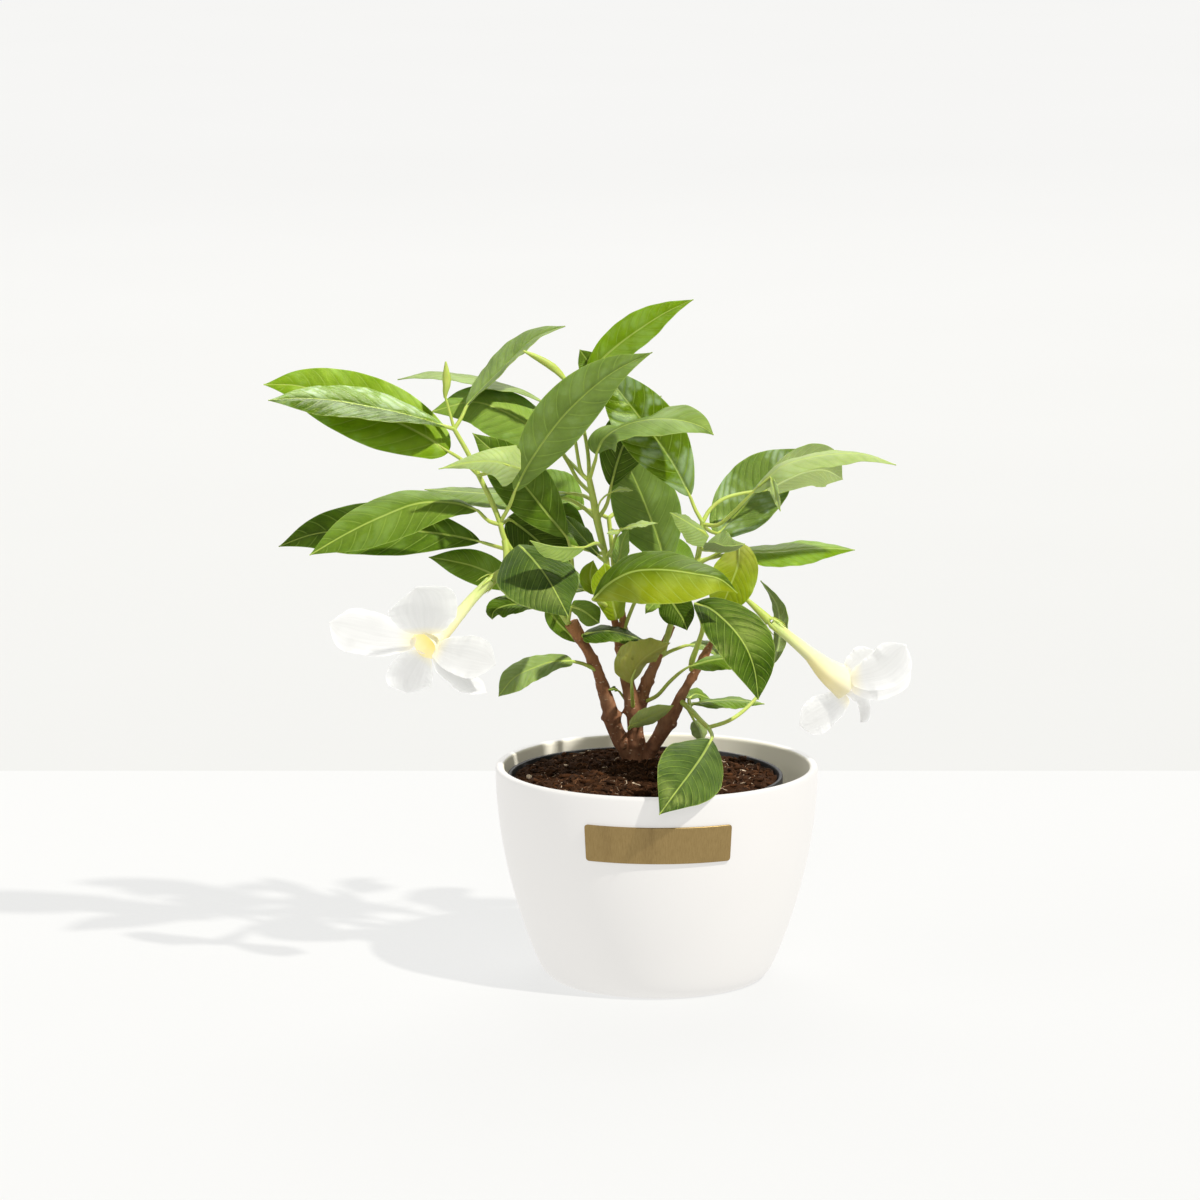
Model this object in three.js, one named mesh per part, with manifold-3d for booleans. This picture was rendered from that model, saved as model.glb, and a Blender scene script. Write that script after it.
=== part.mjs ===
import * as THREE from 'three';
import { mergeVertices } from 'three/addons/utils/BufferGeometryUtils.js';
import Module from 'manifold-3d';

// A young mandevilla with two white blooms, growing in a nursery pot set into a white planter.
// Millimetres, +Z up. The origin is the middle of the planter's flat foot, and -Y is the front.

// Driving dimensions of the pots
const PLANTER_HEIGHT = 107;
const PLANTER_RIM_RADIUS = 80.2;
const PLANTER_FOOT_RADIUS = 52;
const PLANTER_WALL = 4.2;
const PLANTER_FLOOR = 8;
const WALL_CURVE = 1.95;
const HEEL_ROUND = 3.7;
const HEEL_HEIGHT = 2.5;
const NURSERY_RIM_RADIUS = 68.5;
const NURSERY_FOOT_RADIUS = 46;
const NURSERY_RIM_Z = 102;
const NURSERY_WALL = 1.2;
const NURSERY_OFFSET_X = -5.7;
const SOIL_Z = 100.5;
const SOIL_DEPTH = 68;
const PLATE_LOW_Z = 74;
const PLATE_HIGH_Z = 92.4;
const PLATE_HALF_WIDTH = 35;
const PLATE_THICK = 0.9;
const PLATE_CORNER = 1.6;
const GAP = 0.3;
const POT_SEGMENTS = 40;
const CROWN_X = -4;
const CROWN_Y = 20;
const MOUND_REACH = 34;

// Driving dimensions of the plant
const BLADE_THICK = 0.7;
const STALK_RADIUS = 0.95;
const STALK_SINK = 1.6;
const SEPAL_HALF = 0.9;

// Places on the plant are given as they are seen from the front, from a little above: x and z are read
// on the upright plane through the planter's axis, and y is the depth the point lies at on that sight line.
const EYE = new THREE.Vector3(-28.2, -2657.3, 668.1);
const SIGHT_PITCH = THREE.MathUtils.degToRad(10.2);
const FORWARD = new THREE.Vector3(0, Math.cos(SIGHT_PITCH), -Math.sin(SIGHT_PITCH));

function seen([x, y, z]) {
  const reach = (y - EYE.y) / -EYE.y;
  return new THREE.Vector3(EYE.x + (x - EYE.x) * reach, y, EYE.z + (z - EYE.z) * reach);
}

// Solids and booleans
const wasm = await Module();
wasm.setup();

function toSolid(geometry) {
  const bare = geometry.clone();
  bare.deleteAttribute('normal');
  bare.deleteAttribute('uv');
  const merged = mergeVertices(bare, 1e-4);
  const mesh = new wasm.Mesh({
    numProp: 3,
    vertProperties: new Float32Array(merged.attributes.position.array),
    triVerts: new Uint32Array(merged.index.array),
  });
  return new wasm.Manifold(mesh);
}

function toGeometry(solid) {
  const mesh = solid.getMesh();
  const geometry = new THREE.BufferGeometry();
  geometry.setAttribute('position', new THREE.BufferAttribute(new Float32Array(mesh.vertProperties), 3));
  geometry.setIndex(new THREE.BufferAttribute(new Uint32Array(mesh.triVerts), 1));
  geometry.computeVertexNormals();
  return geometry;
}

function join(solids) {
  return solids.reduce((whole, next) => whole.add(next));
}

// A closed body through rings of equal, even point count. Both long sides of a flat ring are split alike.
function loft(rings) {
  const count = rings[0].length;
  const half = count / 2;
  const points = rings.flat();
  const index = [];
  for (let i = 0; i < rings.length - 1; i += 1) {
    for (let j = 0; j < count; j += 1) {
      const a = i * count + j;
      const b = i * count + (j + 1) % count;
      const c = a + count;
      const d = b + count;
      if (j < half) {
        index.push(a, b, d, a, d, c);
      } else {
        index.push(a, b, c, b, d, c);
      }
    }
  }
  const last = (rings.length - 1) * count;
  for (let k = 0; k < half - 1; k += 1) {
    const far = count - 1 - k;
    index.push(k, far, k + 1, k + 1, far, far - 1);
    index.push(last + k, last + k + 1, last + far, last + k + 1, last + far - 1, last + far);
  }
  const geometry = new THREE.BufferGeometry();
  geometry.setAttribute('position', new THREE.Float32BufferAttribute(points.flatMap((p) => p.toArray()), 3));
  geometry.setIndex(index);
  return toSolid(geometry);
}

// Curve helpers
function curveThrough(points) {
  return new THREE.CatmullRomCurve3(points, false, 'centripetal');
}

function mix(pair, u) {
  return pair[0] + (pair[1] - pair[0]) * u;
}

function between(list, u) {
  const place = u * (list.length - 1);
  const low = Math.min(Math.floor(place), list.length - 2);
  return mix([list[low], list[low + 1]], place - low);
}

// A round limb along a curve, whose radius changes through the given radii
function limb(points, radii, sides, steps) {
  const curve = curveThrough(points.map(seen));
  const frames = curve.computeFrenetFrames(steps, false);
  const rings = [];
  for (let i = 0; i <= steps; i += 1) {
    const u = i / steps;
    const centre = curve.getPointAt(u);
    const radius = between(radii, u);
    const ring = [];
    for (let j = 0; j < sides; j += 1) {
      const angle = (2 * Math.PI * j) / sides;
      ring.push(centre.clone()
        .addScaledVector(frames.normals[i], radius * Math.cos(angle))
        .addScaledVector(frames.binormals[i], radius * Math.sin(angle)));
    }
    rings.push(ring);
  }
  return loft(rings);
}

// Blade outlines: the share of the half width at u, from base (0) to tip (1)
const OUTLINES = {
  oval: { peak: 0.46, base: 0.14, rise: 1.05, tip: 2.2, lobe: 0.04 },
  broad: { peak: 0.4, base: 0.3, rise: 0.85, tip: 2.3, lobe: 0.12 },
  blunt: { peak: 0.64, base: 0.3, rise: 1.1, tip: 2.8, lobe: 0.14 },
  heart: { peak: 0.27, base: 0.62, rise: 0.9, tip: 1.8, lobe: 0.36 },
  arrow: { peak: 0.1, base: 0.75, rise: 0.9, tip: 0.62, lobe: 0.45 },
  narrow: { peak: 0.45, base: 0.2, rise: 1, tip: 1.9, lobe: 0 },
  petal: { peak: 0.62, base: 0.34, rise: 0.85, tip: 3.2, lobe: 0 },
};

function shareOfWidth(outline, u) {
  if (u < outline.peak) {
    const rise = Math.sin((Math.PI / 2) * (u / outline.peak));
    return outline.base + (1 - outline.base) * rise ** outline.rise;
  }
  const fall = (u - outline.peak) / (1 - outline.peak);
  return Math.max((1 - fall ** outline.tip) * (1 - 0.4 * fall ** 4), 0.02);
}

const STATIONS = [0, 0.1, 0.27, 0.46, 0.66, 0.86, 1];
const SMALL_STATIONS = [0, 0.2, 0.5, 0.82, 1];
const ACROSS = [-1, 0, 1];

// A leaf or petal blade. The face angle turns its upper side from facing the front, about the midrib,
// and the fold lifts both halves towards the upper side.
function blade({
  rib, half, face, fold, form = 'oval', bow = -0.12, wave = 0.5, waves = 2.5, small = false,
}) {
  const curve = curveThrough(rib.map(seen));
  const outline = OUTLINES[form];
  const stations = small ? SMALL_STATIONS : STATIONS;
  const grid = stations.map((u) => {
    const centre = curve.getPointAt(u);
    const along = curve.getTangentAt(u);
    const side = along.clone().cross(FORWARD).normalize();
    const front = along.clone().cross(side).normalize();
    const turn = THREE.MathUtils.degToRad(mix(face, u));
    const lift = THREE.MathUtils.degToRad(mix(fold, u));
    const left = side.clone().multiplyScalar(Math.cos(turn)).addScaledVector(front, Math.sin(turn));
    const upper = front.clone().multiplyScalar(Math.cos(turn)).addScaledVector(side, -Math.sin(turn));
    const width = half * shareOfWidth(outline, u);
    return ACROSS.map((v) => {
      const reach = Math.abs(v) * width;
      const ripple = wave * Math.sin(2 * Math.PI * waves * u + v) * v * v * Math.min(1, 4 * u * (1 - u));
      return centre.clone()
        .addScaledVector(left, -Math.sign(v) * reach * Math.cos(lift))
        .addScaledVector(upper, reach * Math.sin(lift) + bow * reach * Math.abs(v) + ripple)
        .addScaledVector(along, -outline.lobe * half * v * v * (1 - u) ** 5);
    });
  });
  return loft(thicken(grid));
}

// Rings round a grid of points: the upper side from left to right, then the lower side back
function thicken(grid) {
  const rows = grid.length;
  const columns = grid[0].length;
  return grid.map((row, i) => {
    const upper = [];
    const lower = [];
    row.forEach((point, j) => {
      const before = grid[Math.max(i - 1, 0)][j];
      const after = grid[Math.min(i + 1, rows - 1)][j];
      const leftward = row[Math.max(j - 1, 0)];
      const rightward = row[Math.min(j + 1, columns - 1)];
      const normal = rightward.clone().sub(leftward).cross(after.clone().sub(before)).normalize();
      upper.push(point.clone().addScaledVector(normal, BLADE_THICK / 2));
      lower.unshift(point.clone().addScaledVector(normal, -BLADE_THICK / 2));
    });
    return upper.concat(lower);
  });
}

// A leaf with its stalk, which starts on the stem and runs into the midrib
function leaf(shape) {
  const solids = [blade(shape)];
  if (shape.stalk) {
    const radius = shape.stalkRadius ?? STALK_RADIUS;
    const [root, next] = shape.rib;
    const share = STALK_SINK / Math.hypot(...next.map((value, axis) => value - root[axis]));
    const inner = root.map((value, axis) => value + share * (next[axis] - value));
    const path = [...shape.stalk, root, inner];
    solids.push(limb(path, [radius, radius, 0.7 * radius], 4, path.length - 1));
  }
  return join(solids);
}


// The leafy stems: each has its green stem, its leaves and its buds
const LEFT_SHOOT = {
  stems: [
    {
      path: [
        [-41, 6, 174], [-50, 3, 187], [-61, -2, 200], [-70, -6, 212], [-75.5, -8, 221], [-78, -8, 230],
        [-82, -7, 240], [-88, -6, 252.5], [-93, -5, 263], [-100, -4, 275.5],
      ],
      radii: [1.5, 1.4, 1.3, 1.1],
    },
    { path: [[-100, -4, 275.5], [-102, -4, 283], [-104.4, -4, 292]], radii: [0.8, 0.6] },
    {
      path: [
        [-104.4, -4, 291], [-104.4, -4, 293], [-103.6, -4, 298], [-103.6, -4, 303], [-104, -4, 309],
      ],
      radii: [0.7, 1.7, 2.2, 1.5, 0.4],
    },
    {
      path: [[-75.2, -8, 220], [-74.4, -10, 213], [-75.6, -12, 206], [-81.5, -14, 200.6]],
      radii: [1.8, 1.6, 1.6, 2.2],
    },
  ],
  leaves: [
    {
      stalk: [[-100, -4, 275.5]],
      rib: [
        [-105, -6, 277], [-116.7, -9, 280.6], [-128.5, -12, 283.7], [-145, -15, 287],
        [-159.4, -18, 289.5], [-176, -21, 290.6], [-191.4, -24, 289.8],
      ],
      half: 17, face: [70, 67, 64, 57, 50], fold: [14, 15, 12, 4, -4],
    },
    {
      stalk: [[-88, -6, 252.5], [-96, -5, 260]],
      rib: [
        [-104.3, -2, 265.2], [-112, -1, 270.4], [-122.3, 0, 276.1], [-137.8, 2, 283.1],
        [-157, 4, 290.8], [-177.3, 4, 297], [-193.6, 2, 297.6],
      ],
      half: 17, face: [12, 14], fold: [4, 6], form: 'broad',
    },
    {
      stalk: [[-100, -4, 275.5], [-96.5, -2, 281]],
      rib: [
        [-93.5, 1, 287.5], [-88, 5, 293.5], [-80, 9, 301.5], [-70, 15, 311.5], [-60, 18, 320.5],
        [-45.3, 20, 326.6],
      ],
      half: 14, face: [-68, -66], fold: [20, 20],
    },
    {
      stalk: [[-88, -6, 252.5], [-80, -18, 254.5]],
      rib: [[-71.6, -29, 257], [-80, -32, 259.4], [-92, -34, 259], [-107.8, -37, 255.6]],
      half: 11, face: [0, 20], fold: [-14, -10], form: 'arrow', small: true,
    },
    {
      stalk: [[-78, -8, 228], [-83, -10, 229.5]],
      rib: [
        [-89, -14, 235.2], [-100, -17, 238.6], [-118, -21, 238.4], [-135, -25, 232.2], [-152, -29, 224],
        [-171.8, -34, 212.5],
      ],
      half: 13.2, face: [46, 4], fold: [-20, -12],
    },
    {
      stalk: [[-71.6, -7, 214.6], [-80, 0, 217]],
      rib: [
        [-88, 8, 219.4], [-104, 12, 222.6], [-125, 15, 225], [-150, 17, 225], [-170, 18, 222.8],
        [-187, 18, 216.8],
      ],
      half: 15, face: [26, 20], fold: [12, 12],
    },
    {
      stalk: [[-58, 1, 197]],
      rib: [[-66, 8, 195], [-79, 12, 202], [-91, 15, 207], [-102, 17, 209.6], [-113, 18, 211.5]],
      half: 8.6, face: [-30, 20], fold: [8, 8], small: true,
    },
    {
      stalk: [[-54, 1, 192]],
      rib: [[-58, 8, 187.3], [-66, 10, 187.8], [-75, 11, 187], [-80.6, 10, 184.2], [-81.7, 8, 180.2]],
      half: 6.5, face: [52, 24], fold: [10, 10], form: 'petal', small: true,
    },
    {
      stalk: [[-71, -6, 213]],
      rib: [
        [-67, -14, 216.5], [-61, -24, 210], [-54, -32, 200.5], [-48.5, -37, 190.5], [-44, -39, 181.5],
      ],
      half: 21.5, face: [-8, 6, 14], fold: [-24, -22, -18], form: 'broad',
    },
    {
      stalk: [[-77.5, -8, 229], [-73, -12, 237]],
      rib: [
        [-70, -16, 245], [-64.5, -20, 256], [-54.5, -25, 271.5], [-42.5, -30, 286], [-22, -36, 303.5],
        [-2.5, -38, 313.6],
      ],
      half: 14, face: [6, 0, -20], fold: [16, 20, 32],
    },
    {
      stalk: [[-46, 4, 183], [-42, 4, 196], [-42.5, 3, 214]],
      rib: [[-45, 1, 222], [-54, -2, 233], [-66, -3, 248], [-79, -4, 262.5], [-91, -4, 273.5]],
      half: 13.4, face: [-6, 6], fold: [14, 10],
    },
    {
      stalk: [[-77, -7, 228]],
      rib: [[-72.5, 4, 230.5], [-64, 10, 224], [-55, 15, 216], [-42, 19, 203]],
      half: 14, face: [0, 0], fold: [10, 10], form: 'broad',
    },
    {
      stalk: [[-47, 4, 184]],
      rib: [[-54, 8, 188.5], [-51.5, 11, 182], [-46, 12, 175.5], [-38.5, 12, 168]],
      half: 5, face: [10, 10], fold: [14, 10], small: true,
    },
    {
      stalk: [[-44, 4, 179.5]],
      rib: [[-42, 0, 187], [-36.5, -3, 184.5], [-28.4, -6, 178.4]],
      half: 6, face: [20, 10], fold: [-10, -8], form: 'blunt', small: true,
    },
  ],
};

const CENTRE_SHOOT = {
  stems: [
    {
      path: [
        [-23.5, 6, 190], [-24.5, 6, 203], [-25.4, 5, 212], [-27.8, 4, 222], [-30, 3, 232],
        [-31.6, 2, 241], [-33.5, 1, 250.5],
      ],
      radii: [1.7, 1.6, 1.9, 1.5],
    },
    {
      path: [[-33.5, 1, 250], [-37, 4, 253], [-39.8, 6, 266], [-42, 6, 284], [-44, 5, 298.6]],
      radii: [1, 0.7],
    },
    {
      path: [
        [-44, 5, 298], [-48, 5, 303], [-52, 4, 306.6], [-56.5, 4, 309.6], [-61, 3, 312],
        [-66, 2, 314.3],
      ],
      radii: [0.7, 1.5, 2, 1.8, 1.3, 0.4],
    },
    { path: [[-25, 5, 212], [-21.8, -2, 216.5], [-20.3, -6, 222], [-17.5, -9, 226]], radii: [1, 0.7] },
  ],
  leaves: [
    {
      stalk: [[-33.5, 1, 250], [-31.4, -8, 257], [-30.2, -17, 261]],
      rib: [
        [-29.7, -21, 264], [-26.8, -25, 270], [-21.5, -27, 274.4], [-12.4, -28, 278.4],
        [-1, -29, 280.3], [11.4, -30, 279.6], [21.3, -31, 276.6], [27.8, -32, 272.6],
      ],
      half: 12.5, face: [20, -70, -66, -58, -52], fold: [-34, -6, -12, 6, 12], form: 'broad',
    },
    {
      stalk: [[-33.5, 1, 249.5], [-40, 12, 256], [-46.5, 20, 263.5], [-50, 24, 276]],
      rib: [
        [-56, 27, 288.8], [-67, 29, 294.3], [-78, 30, 297.3], [-92, 31, 300.4], [-110, 32, 302.8],
        [-127.7, 33, 300.1],
      ],
      half: 13, face: [79, 77], fold: [4, 4],
    },
    {
      stalk: [[-32, 2, 243], [-39, 10, 250], [-43.5, 14, 258]],
      rib: [[-50, 17, 268], [-62, 19, 276.5], [-75, 20, 284], [-90, 20, 288.8], [-111.5, 18, 284]],
      half: 14, face: [20, 30], fold: [-12, -10], form: 'broad',
    },
    {
      stalk: [[-31.8, 2, 240], [-37, 10, 242.5]],
      rib: [[-44, 17, 243.5], [-60, 20, 243], [-78, 22, 243], [-96, 23, 244], [-114.8, 24, 245.4]],
      half: 12, face: [64, 62], fold: [-4, -4],
    },
    {
      stalk: [[-30, 3, 230.5], [-38, 10, 237.6], [-46, 17, 241]],
      rib: [[-54, 23, 240], [-50, 26, 234], [-42, 28, 229], [-35, 28, 225.5]],
      half: 8, face: [10, 10], fold: [10, 10], small: true,
    },
    {
      stalk: [[-25.6, 5, 209.5]],
      rib: [[-29, 9, 212], [-34, 11, 218], [-40, 12, 225], [-47, 13, 233]],
      half: 8, face: [58, 58], fold: [10, 10], small: true,
    },
    {
      stalk: [[-29, 3, 231], [-25, 4, 237.5]],
      rib: [[-22.7, 4, 247.5], [-20, 3, 258], [-15.5, 3, 270], [-8, 4, 281], [2, 5, 292]],
      half: 12.5, face: [8, -6], fold: [12, 10],
    },
    {
      stalk: [[-29.5, 3, 232], [-28.6, 0, 238.5], [-25.5, -1, 242.3]],
      rib: [[-22, -2, 244.3], [-17.5, -3, 245.6], [-12, -4, 244.8]],
      half: 1.6, face: [40, 40], fold: [10, 10], form: 'narrow', small: true, stalkRadius: 0.5,
    },
    {
      stalk: [[-18.5, -8, 224.5]],
      rib: [[-17, -9.5, 225.6], [-10, -12, 227.6], [0.2, -14, 228.6]],
      half: 2.6, face: [-62, -50], fold: [10, 10], form: 'narrow', small: true, stalkRadius: 0.5,
    },
    {
      stalk: [[-18.5, -8, 224.5]],
      rib: [[-18.8, -10, 225], [-21, -12, 224.2], [-24.8, -14, 223.4]],
      half: 2, face: [40, 40], fold: [10, 10], form: 'narrow', small: true, stalkRadius: 0.5,
    },
    {
      stalk: [[-23.6, 6, 200]],
      rib: [[-20, 0, 207.5], [-18.4, -5, 213], [-17, -7, 220], [-14, -7, 226]],
      half: 4.6, face: [30, 30], fold: [16, 10], small: true,
    },
    {
      stalk: [[-33.5, 1, 250], [-34, 8, 262], [-37, 12, 284]],
      rib: [
        [-35.5, 12, 300], [-28, 11, 309.3], [-19, 10, 317.4], [-8, 8, 325.4], [4, 6, 333],
        [17.6, 4, 339.7],
      ],
      half: 9.8, face: [-4, -44], fold: [12, 16],
    },
    {
      stalk: [[-36.6, 12, 282]],
      rib: [[-30.5, 17, 298], [-33, 17, 307], [-38.2, 16, 315]],
      half: 6, face: [0, 0], fold: [10, 10], small: true,
    },
    {
      stalk: [[-27, 4, 216], [-30, -14, 218.5]],
      rib: [[-36.2, -36, 216.4], [-44, -40, 216.4], [-52, -43, 217], [-63, -45, 219.8]],
      half: 7, face: [60, 60], fold: [-30, -30], small: true,
    },
  ],
};

const RIGHT_SHOOT = {
  stems: [
    {
      path: [[3, 8, 163], [7, 4, 178], [12, -2, 190], [17, -6, 201], [20.5, -7, 213], [22.5, -7, 229]],
      radii: [1.5, 1.5, 1.5, 1.3],
    },
    { path: [[20.5, -7, 212], [21.5, -14, 216], [23, -23, 222]], radii: [1.1, 0.9] },
    {
      path: [
        [16, -5, 198], [26, 0, 199], [36, 3, 197], [44, 2, 190.6], [50, 0, 185], [55.8, -2, 179.3],
      ],
      radii: [1, 1, 1.1, 2.4],
    },
  ],
  leaves: [
    {
      stalk: [[22.5, -7, 229], [19, -6, 235]],
      rib: [
        [16, -6, 242.5], [10, -7, 254.7], [5, -8, 262.8], [-1, -8, 271.5], [-9, -8, 281.9],
        [-20, -7, 296.2], [-29, -6, 308],
      ],
      half: 15.5, face: [4, -4], fold: [16, 14],
    },
    {
      stalk: [[22.5, -7, 227.5], [26, 0, 224.6]],
      rib: [
        [30.5, 8, 223.6], [37, 12, 230.3], [44.5, 14, 238.5], [56.5, 16, 251.8], [65, 16, 259.6],
        [72, 15, 266],
      ],
      half: 17.8, face: [-20, -24], fold: [26, 20], form: 'broad',
    },
    {
      stalk: [[22.5, -7, 228], [30, -11, 227.6], [37, -15, 233.4], [43, -19, 239.6]],
      rib: [
        [48, -22, 245], [55, -24, 251.6], [62, -25, 257], [72.5, -26, 260.6], [86, -27, 262.8],
        [101, -29, 262.8], [117.8, -32, 257.6],
      ],
      half: 8.6, face: [-58, -64], fold: [-10, -10], form: 'broad',
    },
    {
      stalk: [[22.5, -7, 229], [26.2, -4, 235.5], [33, -1, 240.8], [43, 2, 243.6]],
      rib: [[56, 4, 245.4], [65, 8, 250.4], [74, 12, 254], [83, 14, 254.6], [91.5, 14, 250.4]],
      half: 12.8, face: [155, 160], fold: [-26, -22], form: 'blunt',
    },
    {
      stalk: [[50, -23.4, 247]],
      rib: [[56.4, -27, 251.6], [57.6, -31, 246.6], [60.8, -34, 234.4]],
      half: 2.4, face: [30, 30], fold: [20, 20], form: 'narrow', small: true, stalkRadius: 0.6,
    },
    {
      stalk: [[22.8, -22, 221]],
      rib: [[23.4, -25, 223.6], [15.5, -29, 228.6], [6.3, -33, 233.8]],
      half: 9, face: [50, 50], fold: [-18, -14], form: 'heart', small: true,
    },
    {
      stalk: [[21.4, -13, 215.6]],
      rib: [[24.6, -22, 215], [32.2, -27, 214.2], [38.6, -30, 215.2], [43.4, -31, 218.2]],
      half: 11, face: [-63, -60], fold: [60, 56], form: 'broad', small: true,
    },
    {
      stalk: [[20, -7, 209.5], [28, -4, 211.4]],
      rib: [[36, -2, 213.2], [46, -1, 213.9], [60, -1, 214.3], [78, -2, 216], [97.8, -5, 215.1]],
      half: 9.5, face: [-48, -52], fold: [-10, -8],
    },
    {
      stalk: [[19.5, -7, 208], [27, -11, 211.6], [34, -14, 215.4]],
      rib: [[40.6, -15, 217.2], [40, -16, 208], [37, -17, 199], [33.5, -18, 190], [29.5, -18, 180]],
      half: 11.8, face: [-14, -10], fold: [10, 12], form: 'broad',
    },
    {
      stalk: [[13, -3, 191.6], [10, -14, 193]],
      rib: [[4.8, -21, 193.4], [9, -25, 186.6], [12.8, -28, 180.6], [15, -30, 174.7]],
      half: 8.8, face: [10, 0], fold: [16, 10], form: 'broad', small: true,
    },
    {
      stalk: [[10, -14, 193]],
      rib: [[2.5, -20, 190.6], [-1.8, -23, 187.6], [-5.8, -25, 183.2]],
      half: 3.6, face: [20, 20], fold: [20, 20], form: 'broad', small: true,
    },
  ],
};

// The big leaf in front has a stalk of its own, which rises from the middle branch
const FRONT_LEAF = {
  stems: [
    { path: [[-21.6, 6, 181], [-25, -8, 187], [-30, -26, 190]], radii: [1.2, 1] },
  ],
  leaves: [
    {
      stalk: [[-30, -25, 190]],
      rib: [
        [-31.5, -38, 190.6], [-23.5, -46, 198.4], [-12, -52, 204.2], [2, -55, 205.2], [18, -55, 203.2],
        [31, -54, 200.4], [39.8, -52, 193.4],
      ],
      half: 16.5, face: [-30, -40], fold: [-20, -14],
    },
    {
      stalk: [[-21.8, 4, 181.6]],
      rib: [[-20.2, -6, 181], [-22, -9, 189], [-24.6, -11, 199], [-26, -11, 208.5]],
      half: 8.6, face: [10, 10], fold: [10, 10], form: 'blunt', small: true,
    },
  ],
};

// The leaf that droops in front on the right, on a stalk from the right branch
const DROOPING_LEAF = {
  stems: [
    {
      path: [[17.5, 3, 155], [17.4, -3, 159], [20.5, -10, 168], [22.8, -18, 177], [20, -26, 185]],
      radii: [1.6, 1.3, 1.1],
    },
  ],
  leaves: [
    {
      stalk: [[20.2, -26, 184.5]],
      rib: [
        [19, -31, 188], [25.5, -35, 186], [32.4, -39, 180.6], [39.2, -43, 173.4], [44.6, -46, 165],
        [48.2, -48, 155], [50.4, -49, 139.6],
      ],
      half: 16.8, face: [-40, -30], fold: [8, 14],
    },
  ],
};

// The low stem in front on the right, whose last leaf hangs over the planter's rim
const LOW_SHOOT = {
  stems: [
    {
      path: [[12, 6, 139], [17, -4, 134.3], [22, -16, 129], [25.8, -27, 125.4]],
      radii: [1.5, 1.3, 1.2],
    },
  ],
  leaves: [
    {
      stalk: [[25.6, -26, 125.6], [27.6, -34, 121.5]],
      rib: [[27, -40, 119], [22.8, -54, 111.5], [17.2, -70, 103.2], [9.6, -86, 92.8], [1.4, -94, 81.2]],
      half: 16.6, face: [0, 4], fold: [8, 6], bow: -0.16,
    },
    {
      stalk: [
        [25.6, -26, 125.6], [34.7, -24, 128.5], [42.1, -18, 133.2], [50, -9, 141.4], [55, -1, 150],
      ],
      rib: [[58, 4, 158], [60.5, 8, 168], [61, 10, 178], [59.4, 11, 188], [51.3, 12, 199.8]],
      half: 5.4, face: [138, 122], fold: [14, 14], form: 'narrow',
    },
    {
      stalk: [[15.6, -2, 134.8], [17.6, -4, 131]],
      rib: [[18.8, -5, 128.6], [21, -7, 124.6], [22.6, -8, 118]],
      half: 4.6, face: [150, 150], fold: [10, 10], form: 'broad', small: true, stalkRadius: 0.7,
    },
    {
      stalk: [[16.4, -3, 134.8], [16.6, 1, 136.4]],
      rib: [[18, 4, 137.6], [27, 4, 138.8], [38, 3, 139.4], [53.5, 0, 137.5]],
      half: 6.5, face: [-66, -64], fold: [-6, -6], small: true,
    },
    {
      stalk: [[16.6, 1, 136.4]],
      rib: [[16, 7, 140.2], [19.5, 12, 142.4], [26.5, 14, 140]],
      half: 4.5, face: [-50, -50], fold: [6, 6], form: 'broad', small: true,
    },
  ],
};

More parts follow.
